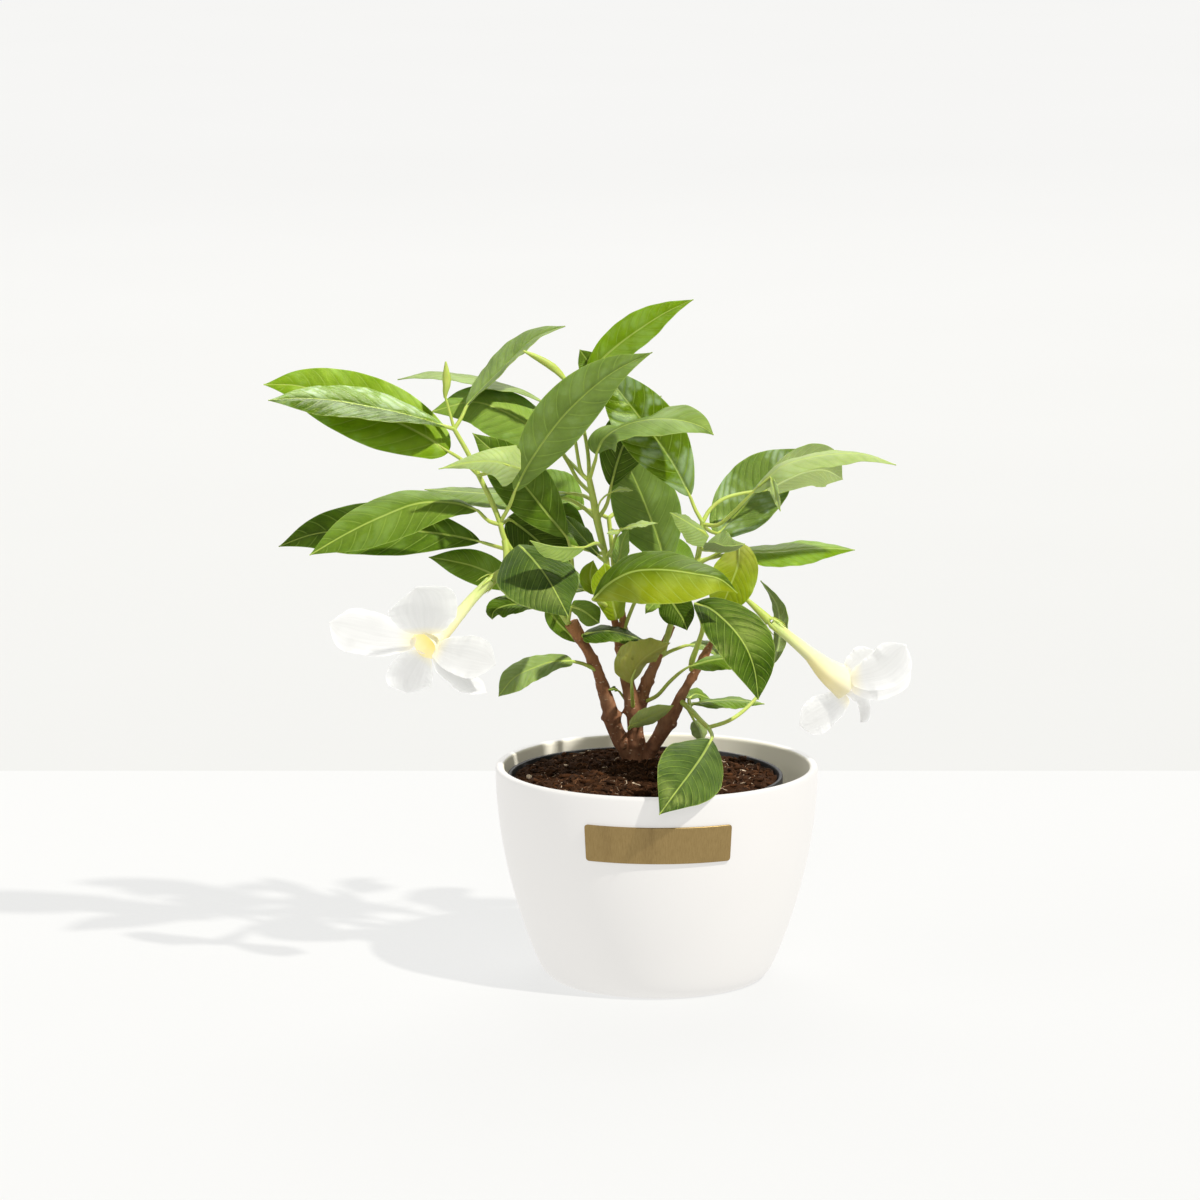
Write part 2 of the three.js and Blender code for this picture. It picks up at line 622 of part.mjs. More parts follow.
// Leaves that sprout straight from the wood
const WOOD_SPRAYS = {
  leaf_low_left: [
    {
      stalk: [[-30, 9, 154.6], [-36.5, 4, 157.8]],
      rib: [
        [-43, 0, 159.2], [-52, -3, 158.6], [-61, -6, 155.6], [-70.5, -9, 150.8], [-78.6, -11, 141.3],
      ],
      half: 8.8, face: [52, 36], fold: [12, 0], form: 'blunt',
    },
  ],
  leaf_low_dark: [
    {
      stalk: [[-37.6, 6, 171.4]],
      rib: [[-34.5, 0, 173], [-25, -3, 174.4], [-14, -3, 172], [-2.6, -3, 167.2]],
      half: 7.4, face: [-56, -54], fold: [-6, -4], form: 'heart', small: true,
    },
  ],
  leaf_old: [
    {
      stalk: [[-11.8, 13, 136], [-12.2, 2, 141], [-12.4, -6, 147]],
      rib: [[-12.2, -9, 151], [-9.6, -12, 157], [-3.2, -15, 163], [6.6, -17, 168.4]],
      half: 11, face: [32, 30], fold: [-32, -26], form: 'heart', wave: 1,
    },
  ],
  leaf_low_pale: [
    {
      stalk: [[-11, 15, 127.5], [-14, 3, 124.6]],
      rib: [[-13, -5, 126.6], [-4, -9, 131], [8.4, -11, 136.7]],
      half: 4.8, face: [26, 26], fold: [-6, -6], form: 'broad', small: true, stalkRadius: 0.7,
    },
  ],
  leaf_behind_branch: [
    {
      stalk: [[-5, 15, 139], [0.5, 7, 142], [6, 1, 148.3], [12, -6, 153.8]],
      rib: [[16.5, -10, 156.6], [27, -13, 159.6], [38, -15, 160.6], [50, -17, 159]],
      half: 6, face: [-40, -50], fold: [-20, -10],
    },
  ],
  leaf_middle_thin: [
    {
      stalk: [[1.4, 12, 161], [5, 15, 163.3], [9.5, 17, 165.3]],
      rib: [[15.5, 18, 167.3], [23, 18, 167.4], [31, 18, 164.5], [38, 18, 160.5]],
      half: 5, face: [-58, -50], fold: [6, 6], small: true,
    },
  ],
  sprout_low: [
    {
      stalk: [[-15.6, 17, 139.6]],
      rib: [[-19.2, 12, 144.4], [-21.4, 10, 145.2], [-24.2, 9, 144.6]],
      half: 1.4, face: [40, 40], fold: [10, 10], form: 'narrow', small: true, stalkRadius: 0.6,
    },
  ],
  leaf_behind: [
    {
      stalk: [[-17.5, 8, 171], [-13.8, 3, 182], [-9.8, 4, 191], [-3, 8, 199]],
      rib: [
        [4.5, 11, 207], [0.5, 12, 221], [-4, 12, 233], [-8.5, 12, 244.5], [-13.5, 12, 255.5],
        [-21, 12, 267],
      ],
      half: 17, face: [-8, 6], fold: [14, 12],
    },
  ],
  leaf_between: [
    {
      stalk: [[-22.4, 8, 184]],
      rib: [[-30, 12, 193.5], [-33, 12, 201.5], [-31.6, 11, 210]],
      half: 5.6, face: [-10, -10], fold: [8, 8], form: 'broad', small: true,
    },
  ],
};

// Leaves on the far side, which fill the plant out to the back
const BACK_SHOOT = {
  stems: [
    {
      path: [
        [-11.5, 22, 128], [-13, 26, 150], [-16, 30, 172], [-20, 33, 194], [-22, 35, 214],
        [-24, 36, 232],
      ],
      radii: [1.9, 1.6, 1.4, 1.1],
    },
  ],
  leaves: [
    {
      stalk: [[-24, 36, 231], [-30, 40, 234]],
      rib: [[-37, 44, 236], [-48, 54, 242], [-58, 66, 246], [-66, 80, 245]],
      half: 14, face: [30, 30], fold: [10, 10], small: true,
    },
    {
      stalk: [[-24, 36, 231], [-18, 40, 236]],
      rib: [[-13, 44, 240], [-8, 54, 246], [-5, 66, 249], [-3, 80, 246]],
      half: 13, face: [-20, -20], fold: [10, 10], small: true,
    },
    {
      stalk: [[-22, 35, 212], [-30, 38, 214]],
      rib: [[-38, 42, 216], [-50, 50, 219], [-62, 60, 220], [-73, 72, 216]],
      half: 12, face: [40, 40], fold: [10, 10], small: true,
    },
    {
      stalk: [[-21.5, 34.6, 208], [-12, 38, 210]],
      rib: [[-4, 42, 211], [6, 52, 212], [14, 64, 210], [20, 78, 204]],
      half: 13, face: [-50, -50], fold: [10, 10], small: true,
    },
    {
      stalk: [[-20, 33, 193], [-14, 38, 195]],
      rib: [[-8, 44, 196], [0, 56, 198], [6, 70, 197], [9, 86, 191]],
      half: 13, face: [-40, -40], fold: [10, 10], small: true,
    },
    {
      stalk: [[-20, 33, 192], [-28, 38, 194]],
      rib: [[-36, 44, 195], [-46, 56, 197], [-54, 70, 196], [-60, 84, 190]],
      half: 12.5, face: [50, 50], fold: [10, 10], small: true,
    },
  ],
};

// The blooms: each has a tube that widens to an open throat, and five petals
const BLOOMS = {
  bloom_left: {
    tube: {
      path: [
        [-82.5, -14.4, 199.8], [-91.5, -17, 190.5], [-99.5, -20, 181], [-107, -25, 173.8],
        [-115.4, -34, 167],
      ],
      radii: [2.4, 2.6, 3.1, 4.8, 7.6], throat: 0.5,
    },
    petals: [
      {
        rib: [[-119.2, -30, 169.8], [-134, -29, 171], [-148, -25, 174], [-162.5, -20, 178.5]],
        half: 12, face: [24, 20], fold: [4, 4],
      },
      {
        rib: [[-115, -35.8, 172.8], [-115.5, -43, 180], [-116.5, -49, 188.5], [-119.5, -53, 196.5]],
        half: 17, face: [0, 0], fold: [4, 4],
      },
      {
        rib: [[-109.6, -35.8, 165.8], [-101, -43, 163], [-91, -48.5, 160.4], [-80, -53, 157.5]],
        half: 11, face: [-20, -20], fold: [6, 6],
      },
      {
        rib: [[-115.2, -28.6, 163.2], [-120, -28, 156], [-123, -26.5, 150], [-124, -24, 143]],
        half: 11.5, face: [0, 0], fold: [4, 4],
      },
      {
        rib: [[-109.8, -34, 163.8], [-104, -38.5, 155], [-95, -41, 148.6], [-84.5, -43, 143]],
        half: 9, face: [-50, -56], fold: [4, 4],
      },
    ],
  },
  bloom_right: {
    tube: {
      path: [[56.9, -2.3, 178.4], [66, -2, 171], [76, -1, 162.6], [85, 1, 154.2], [94.5, 4, 148]],
      radii: [2.5, 2.7, 3.5, 6, 8.6], throat: 0.5,
    },
    petals: [
      {
        rib: [[94, -1, 153.5], [98.5, 0, 157.5], [103, 1, 161], [107.5, 2, 164.6]],
        half: 7.5, face: [150, 150], fold: [4, 4],
      },
      {
        rib: [[96, -3, 151], [105, -6, 152.5], [114, -8, 156.5], [123.5, -9, 167.5]],
        half: 10.5, face: [160, 170], fold: [4, 4],
      },
      {
        rib: [[97, -2, 147], [107, 2, 147], [116, 6, 150.5], [126, 10, 158.5]],
        half: 9.5, face: [200, 200], fold: [4, 4],
      },
      {
        rib: [[92.5, 3, 144], [100, 5, 140.6], [103, 8, 135], [101.4, 12, 128]],
        half: 5, face: [235, 235], fold: [4, 4],
      },
      {
        rib: [[94.5, 4, 141.8], [89, 4, 137.6], [81, 2, 132], [71, -1, 126.6]],
        half: 9.8, face: [152, 160], fold: [4, 4],
      },
    ],
  },
};

// Narrow sepals round the foot of each tube
const CALYXES = {
  left: { foot: [-82.2, -14.2, 200.2], towards: [-90, -18, 193.2], length: 6.5 },
  right: { foot: [56.4, -2.2, 178.8], towards: [66, -2, 171], length: 7 },
};

// The wood: branches that rise from one crown
const BRANCHES = [
  {
    path: [
      [-9, 20, 100], [-12, 20, 108], [-17.3, 18.5, 118], [-21.3, 16, 126], [-23.4, 14, 134.7],
      [-26.4, 12, 145], [-29.8, 10, 155.5], [-36.5, 7, 168], [-42.5, 5, 178.6],
    ],
    radii: [6, 4.4, 4.1, 4.1, 3.6, 2.8, 2.5, 2.6, 3.7],
  },
  {
    path: [
      [-9, 21, 98], [-9.8, 20, 108], [-10.5, 18, 120.7], [-11.4, 16, 134], [-13.4, 14, 144],
      [-17.4, 11, 160], [-20, 8, 174], [-22.6, 6, 188],
    ],
    radii: [7.4, 5.8, 4.2, 4.3, 3, 2.1, 1.8, 1.5],
  },
  {
    path: [[-12, 16, 136], [-14.5, 12, 152], [-14.8, 9, 166], [-16.4, 6, 177], [-17, 5, 185]],
    radii: [3, 2.2, 1.9, 2, 1.3],
  },
  {
    path: [
      [-10, 17, 128], [-7.4, 17, 141], [-3.6, 15, 152], [0.2, 12, 160], [3.4, 9, 168], [8, 7, 177],
    ],
    radii: [3.6, 3.5, 2.9, 2.4, 1.9, 1.4],
  },
  {
    path: [
      [-7, 20, 100], [-4.6, 19, 110], [-1.6, 17, 116.4], [2.6, 14, 123.6], [5.6, 11, 129],
      [9.4, 8.5, 135], [13, 6, 143], [17.6, 3, 151], [22.6, 1, 160], [27.2, 0, 168.6],
    ],
    radii: [6, 4.4, 3.3, 3.9, 3.8, 2.8, 2.1, 2.1, 2.3, 1.4],
  },
  { path: [[5, 11, 129], [9.5, 8, 126.6]], radii: [2.4, 1.6] },
];

// Stems and leaves of a shoot
function shoot({ stems, leaves }) {
  const green = stems.map(({ path, radii }) => limb(path, radii, 6, path.length));
  return [...green, ...leaves.map(leaf)];
}

// Cuts a shoot clear of what it grows from, and leaves out the loose crumbs of the cut
function seated(solid, seat) {
  return solid.subtract(seat).decompose().reduce((most, body) => (
    body.volume() > most.volume() ? body : most
  ));
}

function woodyBase(extra) {
  return join(BRANCHES.map(({ path, radii }) => (
    limb(path, radii.map((radius) => radius + extra), 8, path.length)
  )));
}

// A bloom's tube, open at the throat: the rings run up the outside and back down the inside
function funnel({ path, radii, throat }) {
  const curve = curveThrough(path.map(seen));
  const steps = 6;
  const sides = 8;
  const lip = 0.9;
  const frames = curve.computeFrenetFrames(steps, false);
  const ringAt = (i, radius) => Array.from({ length: sides }, (_, j) => {
    const angle = (2 * Math.PI * j) / sides;
    return curve.getPointAt(i / steps)
      .addScaledVector(frames.normals[i], radius * Math.cos(angle))
      .addScaledVector(frames.binormals[i], radius * Math.sin(angle));
  });
  const rings = [];
  for (let i = 0; i <= steps; i += 1) {
    rings.push(ringAt(i, between(radii, i / steps)));
  }
  for (let i = steps; i >= steps * throat; i -= 1) {
    rings.push(ringAt(i, between(radii, i / steps) - lip));
  }
  return loft(rings);
}

function bloom({ tube, petals }) {
  const blades = petals.map((petal) => blade({ ...petal, form: 'petal', bow: 0, wave: 0.6 }));
  return join([funnel(tube), ...blades]);
}

// Five sepals that lean out from the foot of a tube
function calyx({ foot, towards, length }) {
  const base = seen(foot);
  const axis = seen(towards).sub(base).normalize();
  const side = new THREE.Vector3(0, 1, 0).cross(axis).normalize();
  const up = axis.clone().cross(side);
  const sepals = [];
  for (let i = 0; i < 5; i += 1) {
    const angle = (2 * Math.PI * i) / 5;
    const out = side.clone().multiplyScalar(Math.cos(angle)).addScaledVector(up, Math.sin(angle));
    const across = out.clone().cross(axis);
    const ring = (forward, outward, scale) => {
      const centre = base.clone().addScaledVector(axis, forward).addScaledVector(out, outward);
      return [[-1, 0], [0, -1], [1, 0], [0, 1]].map(([s, t]) => (
        centre.clone().addScaledVector(across, s * scale).addScaledVector(out, 0.6 * t * scale)
      ));
    };
    sepals.push(loft([
      ring(-2.4, 1.1, SEPAL_HALF),
      ring(-0.4, 3, SEPAL_HALF),
      ring(length, 4.2, 0.3 * SEPAL_HALF),
    ]));
  }
  return join(sepals);
}

// Round pots: a closed profile turned round the axis
function turned(profile, segments) {
  return new THREE.LatheGeometry(profile.map(([r, z]) => new THREE.Vector2(r, z)), segments)
    .rotateX(Math.PI / 2);
}

// The planter's outer radius at a height: a round heel, then a wall that swells out and stands up
function planterRadius(z) {
  const below = THREE.MathUtils.clamp(1 - z / PLANTER_HEIGHT, 0, 1);
  const lean = PLANTER_RIM_RADIUS - PLANTER_FOOT_RADIUS - HEEL_ROUND;
  return PLANTER_RIM_RADIUS - lean * below ** WALL_CURVE - HEEL_ROUND * Math.exp(-z / HEEL_HEIGHT);
}

function planter() {
  const outside = [0, 2.5, 12, 34, 64, 86].map((z) => [planterRadius(z), z]);
  const inside = [64, 34].map((z) => [planterRadius(z) - PLANTER_WALL, z]);
  const lipMiddle = PLANTER_RIM_RADIUS - PLANTER_WALL / 2;
  const lip = [
    [PLANTER_RIM_RADIUS, PLANTER_HEIGHT - 1.6],
    [lipMiddle, PLANTER_HEIGHT],
    [PLANTER_RIM_RADIUS - PLANTER_WALL, PLANTER_HEIGHT - 1.6],
  ];
  const profile = [[0, 0], ...outside, ...lip, ...inside, [NURSERY_FOOT_RADIUS + 7, PLANTER_FLOOR],
    [0, PLANTER_FLOOR]];
  return turned(profile, POT_SEGMENTS);
}

// A bare plate bent round the front of the planter, with rounded corners
function namePlate() {
  const middleZ = (PLATE_LOW_Z + PLATE_HIGH_Z) / 2;
  const halfHeight = (PLATE_HIGH_Z - PLATE_LOW_Z) / 2;
  const halfAngle = Math.asin(PLATE_HALF_WIDTH / planterRadius(middleZ));
  const cornerAngle = PLATE_CORNER / planterRadius(middleZ);
  const steps = 16;
  const shares = [0, 0.3, 1];
  const angles = [
    ...shares.map((s) => -halfAngle + s * cornerAngle),
    ...Array.from({ length: steps - 1 }, (_, i) => -halfAngle + ((i + 1) * 2 * halfAngle) / steps),
    ...shares.map((s) => halfAngle - s * cornerAngle).reverse(),
  ];
  const rings = angles.map((angle) => {
    const inset = Math.max(0, PLATE_CORNER - (halfAngle - Math.abs(angle)) * planterRadius(middleZ));
    const reach = halfHeight - PLATE_CORNER + Math.sqrt(PLATE_CORNER ** 2 - inset ** 2);
    const at = (z, out) => {
      const radius = planterRadius(z) + GAP + 0.2 + out;
      return new THREE.Vector3(radius * Math.sin(angle), -radius * Math.cos(angle), z);
    };
    const low = middleZ - reach;
    const high = middleZ + reach;
    return [at(low, PLATE_THICK), at(low, 0), at(middleZ, 0), at(high, 0), at(high, PLATE_THICK),
      at(middleZ, PLATE_THICK)];
  });
  return toGeometry(loft(rings));
}

// The nursery pot's inner radius at a height: one straight taper from the foot to the rim
function nurseryInner(z) {
  const share = (z - PLANTER_FLOOR) / (NURSERY_RIM_Z - PLANTER_FLOOR);
  return NURSERY_FOOT_RADIUS - NURSERY_WALL + share * (NURSERY_RIM_RADIUS - NURSERY_FOOT_RADIUS - 0.6);
}

function nurseryPot() {
  const base = PLANTER_FLOOR + GAP;
  const bandZ = NURSERY_RIM_Z - 8;
  const profile = [
    [0, base],
    [NURSERY_FOOT_RADIUS, base],
    [nurseryInner(bandZ - 1) + NURSERY_WALL, bandZ - 1],
    [NURSERY_RIM_RADIUS, bandZ],
    [NURSERY_RIM_RADIUS, NURSERY_RIM_Z - 0.5],
    [NURSERY_RIM_RADIUS - 0.5, NURSERY_RIM_Z],
    [nurseryInner(NURSERY_RIM_Z), NURSERY_RIM_Z],
    [nurseryInner(base + NURSERY_WALL), base + NURSERY_WALL],
    [0, base + NURSERY_WALL],
  ];
  return turned(profile, POT_SEGMENTS).translate(NURSERY_OFFSET_X, 0, 0);
}

// The potting mix has a crumbly top that mounds towards the crown
function soilHeight(x, y) {
  const mound = 4.5 * Math.exp(-((x - CROWN_X) ** 2 + (y - CROWN_Y) ** 2) / MOUND_REACH ** 2);
  const crumbs = 0.7 * Math.sin(0.41 * x + 1.3) * Math.cos(0.37 * y) + 0.5 * Math.sin(0.9 * x - 0.8 * y);
  return SOIL_Z + mound + crumbs - 1.2 * (Math.hypot(x, y) / NURSERY_RIM_RADIUS) ** 6;
}

// Rings of the top from the rim inwards, then the body below them, tapered like the pot
function pottingMix(woodSeat) {
  const steps = 4;
  const clear = 0.35;
  const lowZ = SOIL_Z - SOIL_DEPTH;
  const profile = [[0, lowZ], [nurseryInner(lowZ) - clear, lowZ]];
  for (let i = 0; i <= steps; i += 1) {
    profile.push([(nurseryInner(SOIL_Z - 1.5) - clear) * (1 - i / steps), SOIL_Z]);
  }
  const geometry = turned(profile, POT_SEGMENTS);
  const place = geometry.attributes.position;
  for (let i = 0; i < place.count; i += 1) {
    if (place.getZ(i) > SOIL_Z - 1) {
      place.setZ(i, soilHeight(place.getX(i), place.getY(i)));
    }
  }
  geometry.translate(NURSERY_OFFSET_X, 0, 0);
  return toGeometry(toSolid(geometry).subtract(woodSeat));
}

// Finishes, one for each kind of surface
function finish(color, roughness, metalness = 0) {
  return new THREE.MeshStandardMaterial({ color, roughness, metalness });
}

const GLAZE = finish(0xeeebe6, 0.55);
const BRASS = finish(0xa8854a, 0.38, 0.9);
const BLACK_PLASTIC = finish(0x17181a, 0.45);
const SOIL = finish(0x3a2a20, 0.95);
const WOOD = finish(0x7a4a2c, 0.8);
const GREEN = finish(0x4f8a1e, 0.45);
const PETAL = finish(0xf6f5f0, 0.6);

const group = new THREE.Group();

function addNode(name, geometry, material) {
  const mesh = new THREE.Mesh(geometry, material);
  mesh.name = name;
  group.add(mesh);
}

const wideWood = woodyBase(GAP + 0.05);
const woodSeat = wideWood.add(wideWood.translate([0, 0, -GAP]));
addNode('planter', planter(), GLAZE);
addNode('name_plate', namePlate(), BRASS);
addNode('nursery_pot', nurseryPot(), BLACK_PLASTIC);
addNode('potting_mix', pottingMix(woodSeat), SOIL);
addNode('woody_base', toGeometry(woodyBase(0)), WOOD);

const SHOOTS = {
  shoot_left: LEFT_SHOOT,
  shoot_centre: CENTRE_SHOOT,
  shoot_right: RIGHT_SHOOT,
  shoot_back: BACK_SHOOT,
  shoot_low: LOW_SHOOT,
  leaf_front: FRONT_LEAF,
  leaf_drooping: DROOPING_LEAF,
};
const flowerSeats = Object.values(BLOOMS).map(({ tube }) => (
  limb(tube.path, tube.radii.map((radius) => radius + GAP + 0.1), 8, 4)
));
const seats = join([woodSeat, ...flowerSeats]);
const calyxOf = { shoot_left: CALYXES.left, shoot_right: CALYXES.right };

Object.entries(SHOOTS).forEach(([name, shape]) => {
  const sepals = calyxOf[name] ? [calyx(calyxOf[name])] : [];
  addNode(name, toGeometry(seated(join([...shoot(shape), ...sepals]), seats)), GREEN);
});
Object.entries(WOOD_SPRAYS).forEach(([name, leaves]) => {
  addNode(name, toGeometry(seated(join(leaves.map(leaf)), woodSeat)), GREEN);
});
Object.entries(BLOOMS).forEach(([name, shape]) => {
  addNode(name, toGeometry(bloom(shape)), PETAL);
});

export default group;
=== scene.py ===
import math
import random

import bmesh
import bpy
import numpy as np
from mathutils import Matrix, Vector, noise


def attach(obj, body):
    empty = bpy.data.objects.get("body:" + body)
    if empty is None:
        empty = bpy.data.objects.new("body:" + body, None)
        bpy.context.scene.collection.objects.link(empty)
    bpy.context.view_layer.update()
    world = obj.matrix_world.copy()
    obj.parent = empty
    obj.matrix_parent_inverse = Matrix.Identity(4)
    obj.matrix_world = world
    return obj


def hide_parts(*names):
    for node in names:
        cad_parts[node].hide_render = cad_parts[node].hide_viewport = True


# A young mandevilla with two white blooms, in a nursery pot that stands in a white planter.
# Sizes and places are in millimetres, as in the frame's source, and become metres in the meshes.

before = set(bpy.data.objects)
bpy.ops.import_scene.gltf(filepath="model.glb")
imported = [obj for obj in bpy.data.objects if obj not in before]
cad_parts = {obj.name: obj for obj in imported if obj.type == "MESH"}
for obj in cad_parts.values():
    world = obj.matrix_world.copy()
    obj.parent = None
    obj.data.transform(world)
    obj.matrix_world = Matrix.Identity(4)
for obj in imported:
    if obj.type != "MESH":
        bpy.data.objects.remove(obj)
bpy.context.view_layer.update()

MM = 0.001

# The pots, as the frame has them
PLANTER_HEIGHT = 107
PLANTER_RIM_RADIUS = 80.2
PLANTER_FOOT_RADIUS = 52
PLANTER_WALL = 4.2
PLANTER_FLOOR = 8
WALL_CURVE = 1.95
HEEL_ROUND = 3.7
HEEL_HEIGHT = 2.5
NURSERY_RIM_RADIUS = 68.5
NURSERY_FOOT_RADIUS = 46
NURSERY_RIM_Z = 102
NURSERY_WALL = 1.2
NURSERY_OFFSET_X = -5.7
SOIL_Z = 100.5
CROWN_X = -4
CROWN_Y = 20
MOUND_REACH = 34
MOUND_HEIGHT = 4.5
SOIL_DEPTH = 68
SOIL_GAP = 0.5
PLATE_LOW_Z = 74
PLATE_HIGH_Z = 92.4
PLATE_HALF_WIDTH = 35
PLATE_THICK = 0.9
PLATE_CORNER = 1.6
PLATE_SEAT = 0.5
PLATE_STEPS = 24

# The plant. A curve has SPAN_STEPS steps from each of its places to the next, a stem has a ring for each
# TUBE_STEP of its length, and a bloom's tube is hollow from the share OPEN_FROM of its length on.
BLADE_THICK = 0.6
STALK_RADIUS = 0.95
STALK_SINK = 1.6
SPAN_STEPS = 24
TUBE_STEP = 2.5
SEPALS = 5
SEPAL_HALF = 0.9
OPEN_FROM = 0.5
VEIN_PAIRS = 11
RIPPLES = 2.5
BASE_ROUND = 0.06
PLAIN_LOOK = (0.5, 0, 0, 0)

# Places on the plant are given as they are seen from the front: x and z are read on the upright plane
# through the planter's axis, and y is the depth the point lies at on that sight line.
EYE = np.array([-28.2, -2657.3, 668.1])
SIGHT_PITCH = math.radians(10.2)
FORWARD = np.array([0, math.cos(SIGHT_PITCH), -math.sin(SIGHT_PITCH)])
LENS = 163.6
SENSOR = 36

# Share of a blade's half width, from base to tip
OUTLINES = dict(
    oval=dict(peak=0.46, base=0.14, rise=1.05, tip=2.2, lobe=0.04),
    broad=dict(peak=0.4, base=0.3, rise=0.85, tip=2.3, lobe=0.12),
    blunt=dict(peak=0.62, base=0.45, rise=1.1, tip=2.4, lobe=0.14),
    heart=dict(peak=0.27, base=0.62, rise=0.9, tip=1.8, lobe=0.36),
    arrow=dict(peak=0.1, base=0.75, rise=0.9, tip=0.62, lobe=0.45),
    narrow=dict(peak=0.45, base=0.2, rise=1, tip=1.9, lobe=0),
    petal=dict(peak=0.62, base=0.34, rise=0.85, tip=3.2, lobe=0),
)

# How the skin of a leaf looks: its tone from dark to bright, and its shares of yellow, age and grey
SKINS = dict(
    polished=(0.4, 0.05, 0, 0),
    gleaming=(0.2, 0.03, 0, 0),
    # sheen's grey share is painted sheen, a silvery cast in the colour for the reflection on its leaf
    sheen=(0.5, 0, 0, 0.35),
    bright=(0.66, 0.06, 0, 0),
    fresh=(0.4, 0.02, 0, 0.12),
    mid=(0.45, 0, 0, 0.08),
    deep=(0.24, 0, 0, 0.04),
    dark=(0.08, 0, 0, 0),
    dull=(0.45, 0, 0, 0.33),
    muted=(0.42, 0, 0, 0.4),
    bluish=(0.06, 0, 0, 0.24),
    soft=(0.7, 0, 0, 0.25),
    pale=(0.85, 0, 0, 0.75),
    silvery=(0.55, 0, 0, 0.55),
    yellowish=(0.6, 0.4, 0, 0),
    yellowing=(0.2, 0.04, 0, 0),
    olive=(0.5, 0.45, 0, 0),
    old=(0.5, 0.3, 0.7, 0),
    dry=(1.0, 0.1, 0.25, 0.7),
)

# Skins that turn: the tone and the yellow that one margin adds, and the age that the foot adds
# The gleaming skin stays dark away from the margin it lightens, as painted shade on a half that the key
# light reaches
TURNING = dict(gleaming=(0.45, 0, 0), yellowing=(0.15, 0.56, 0), olive=(0, 0.1, 0.4))
# Skins whose leaves take the polished top, which is glossy and carries a strong painted sheen in its colour
GLOSSY_SKINS = ("polished", "gleaming", "sheen")

# The skins of the leaves on each stem, in the order of its leaves
LEAF_SKINS = dict(
    shoot_left="gleaming bright muted pale fresh deep mid deep bluish dull deep dark mid fresh",
    # The seventh centre leaf takes the dark skin as painted shade, for the shadow it lies in
    shoot_centre="dull silvery soft muted deep deep dark pale pale pale soft bright fresh muted",
    shoot_right="polished sheen pale pale pale silvery pale bright olive dark soft",
    shoot_back="mid mid mid mid mid mid",
    shoot_low="bluish silvery silvery mid fresh",
    leaf_front="yellowing yellowish",
    leaf_drooping="dark",
    leaf_low_left="silvery",
    leaf_low_dark="dark",
    leaf_old="old",
    leaf_low_pale="dry",
    leaf_behind_branch="mid",
    leaf_middle_thin="silvery",
    sprout_low="deep",
    leaf_behind="dull",
    leaf_between="yellowish",
)

# The leafy stems: green stems with their buds, then leaves. A leaf has a stalk, a rib from foot to tip, half
# its width, the turn of its face round the rib and the fold of its halves, in degrees from foot to tip.
LEFT_STEMS = [
    dict(path=[[-41, 6, 174], [-50, 3, 187], [-61, -2, 200], [-70, -6, 212], [-75.5, -8, 221],
               [-78, -8, 230], [-82, -7, 240], [-88, -6, 252.5], [-93, -5, 263], [-100, -4, 275.5]],
         radii=[1.5, 1.4, 1.3, 1.1]),
    dict(path=[[-100, -4, 275.5], [-102, -4, 283], [-104.4, -4, 292]], radii=[0.8, 0.6]),
    dict(path=[[-104.4, -4, 291], [-104.4, -4, 293], [-103.6, -4, 298], [-103.6, -4, 303],
               [-104, -4, 309]], radii=[0.7, 1.7, 2.2, 1.5, 0.4]),
    dict(path=[[-75.2, -8, 220], [-74.4, -10, 213], [-75.6, -12, 206], [-81.5, -14, 200.6]],
         radii=[1.8, 1.6, 1.6, 2.2]),
]
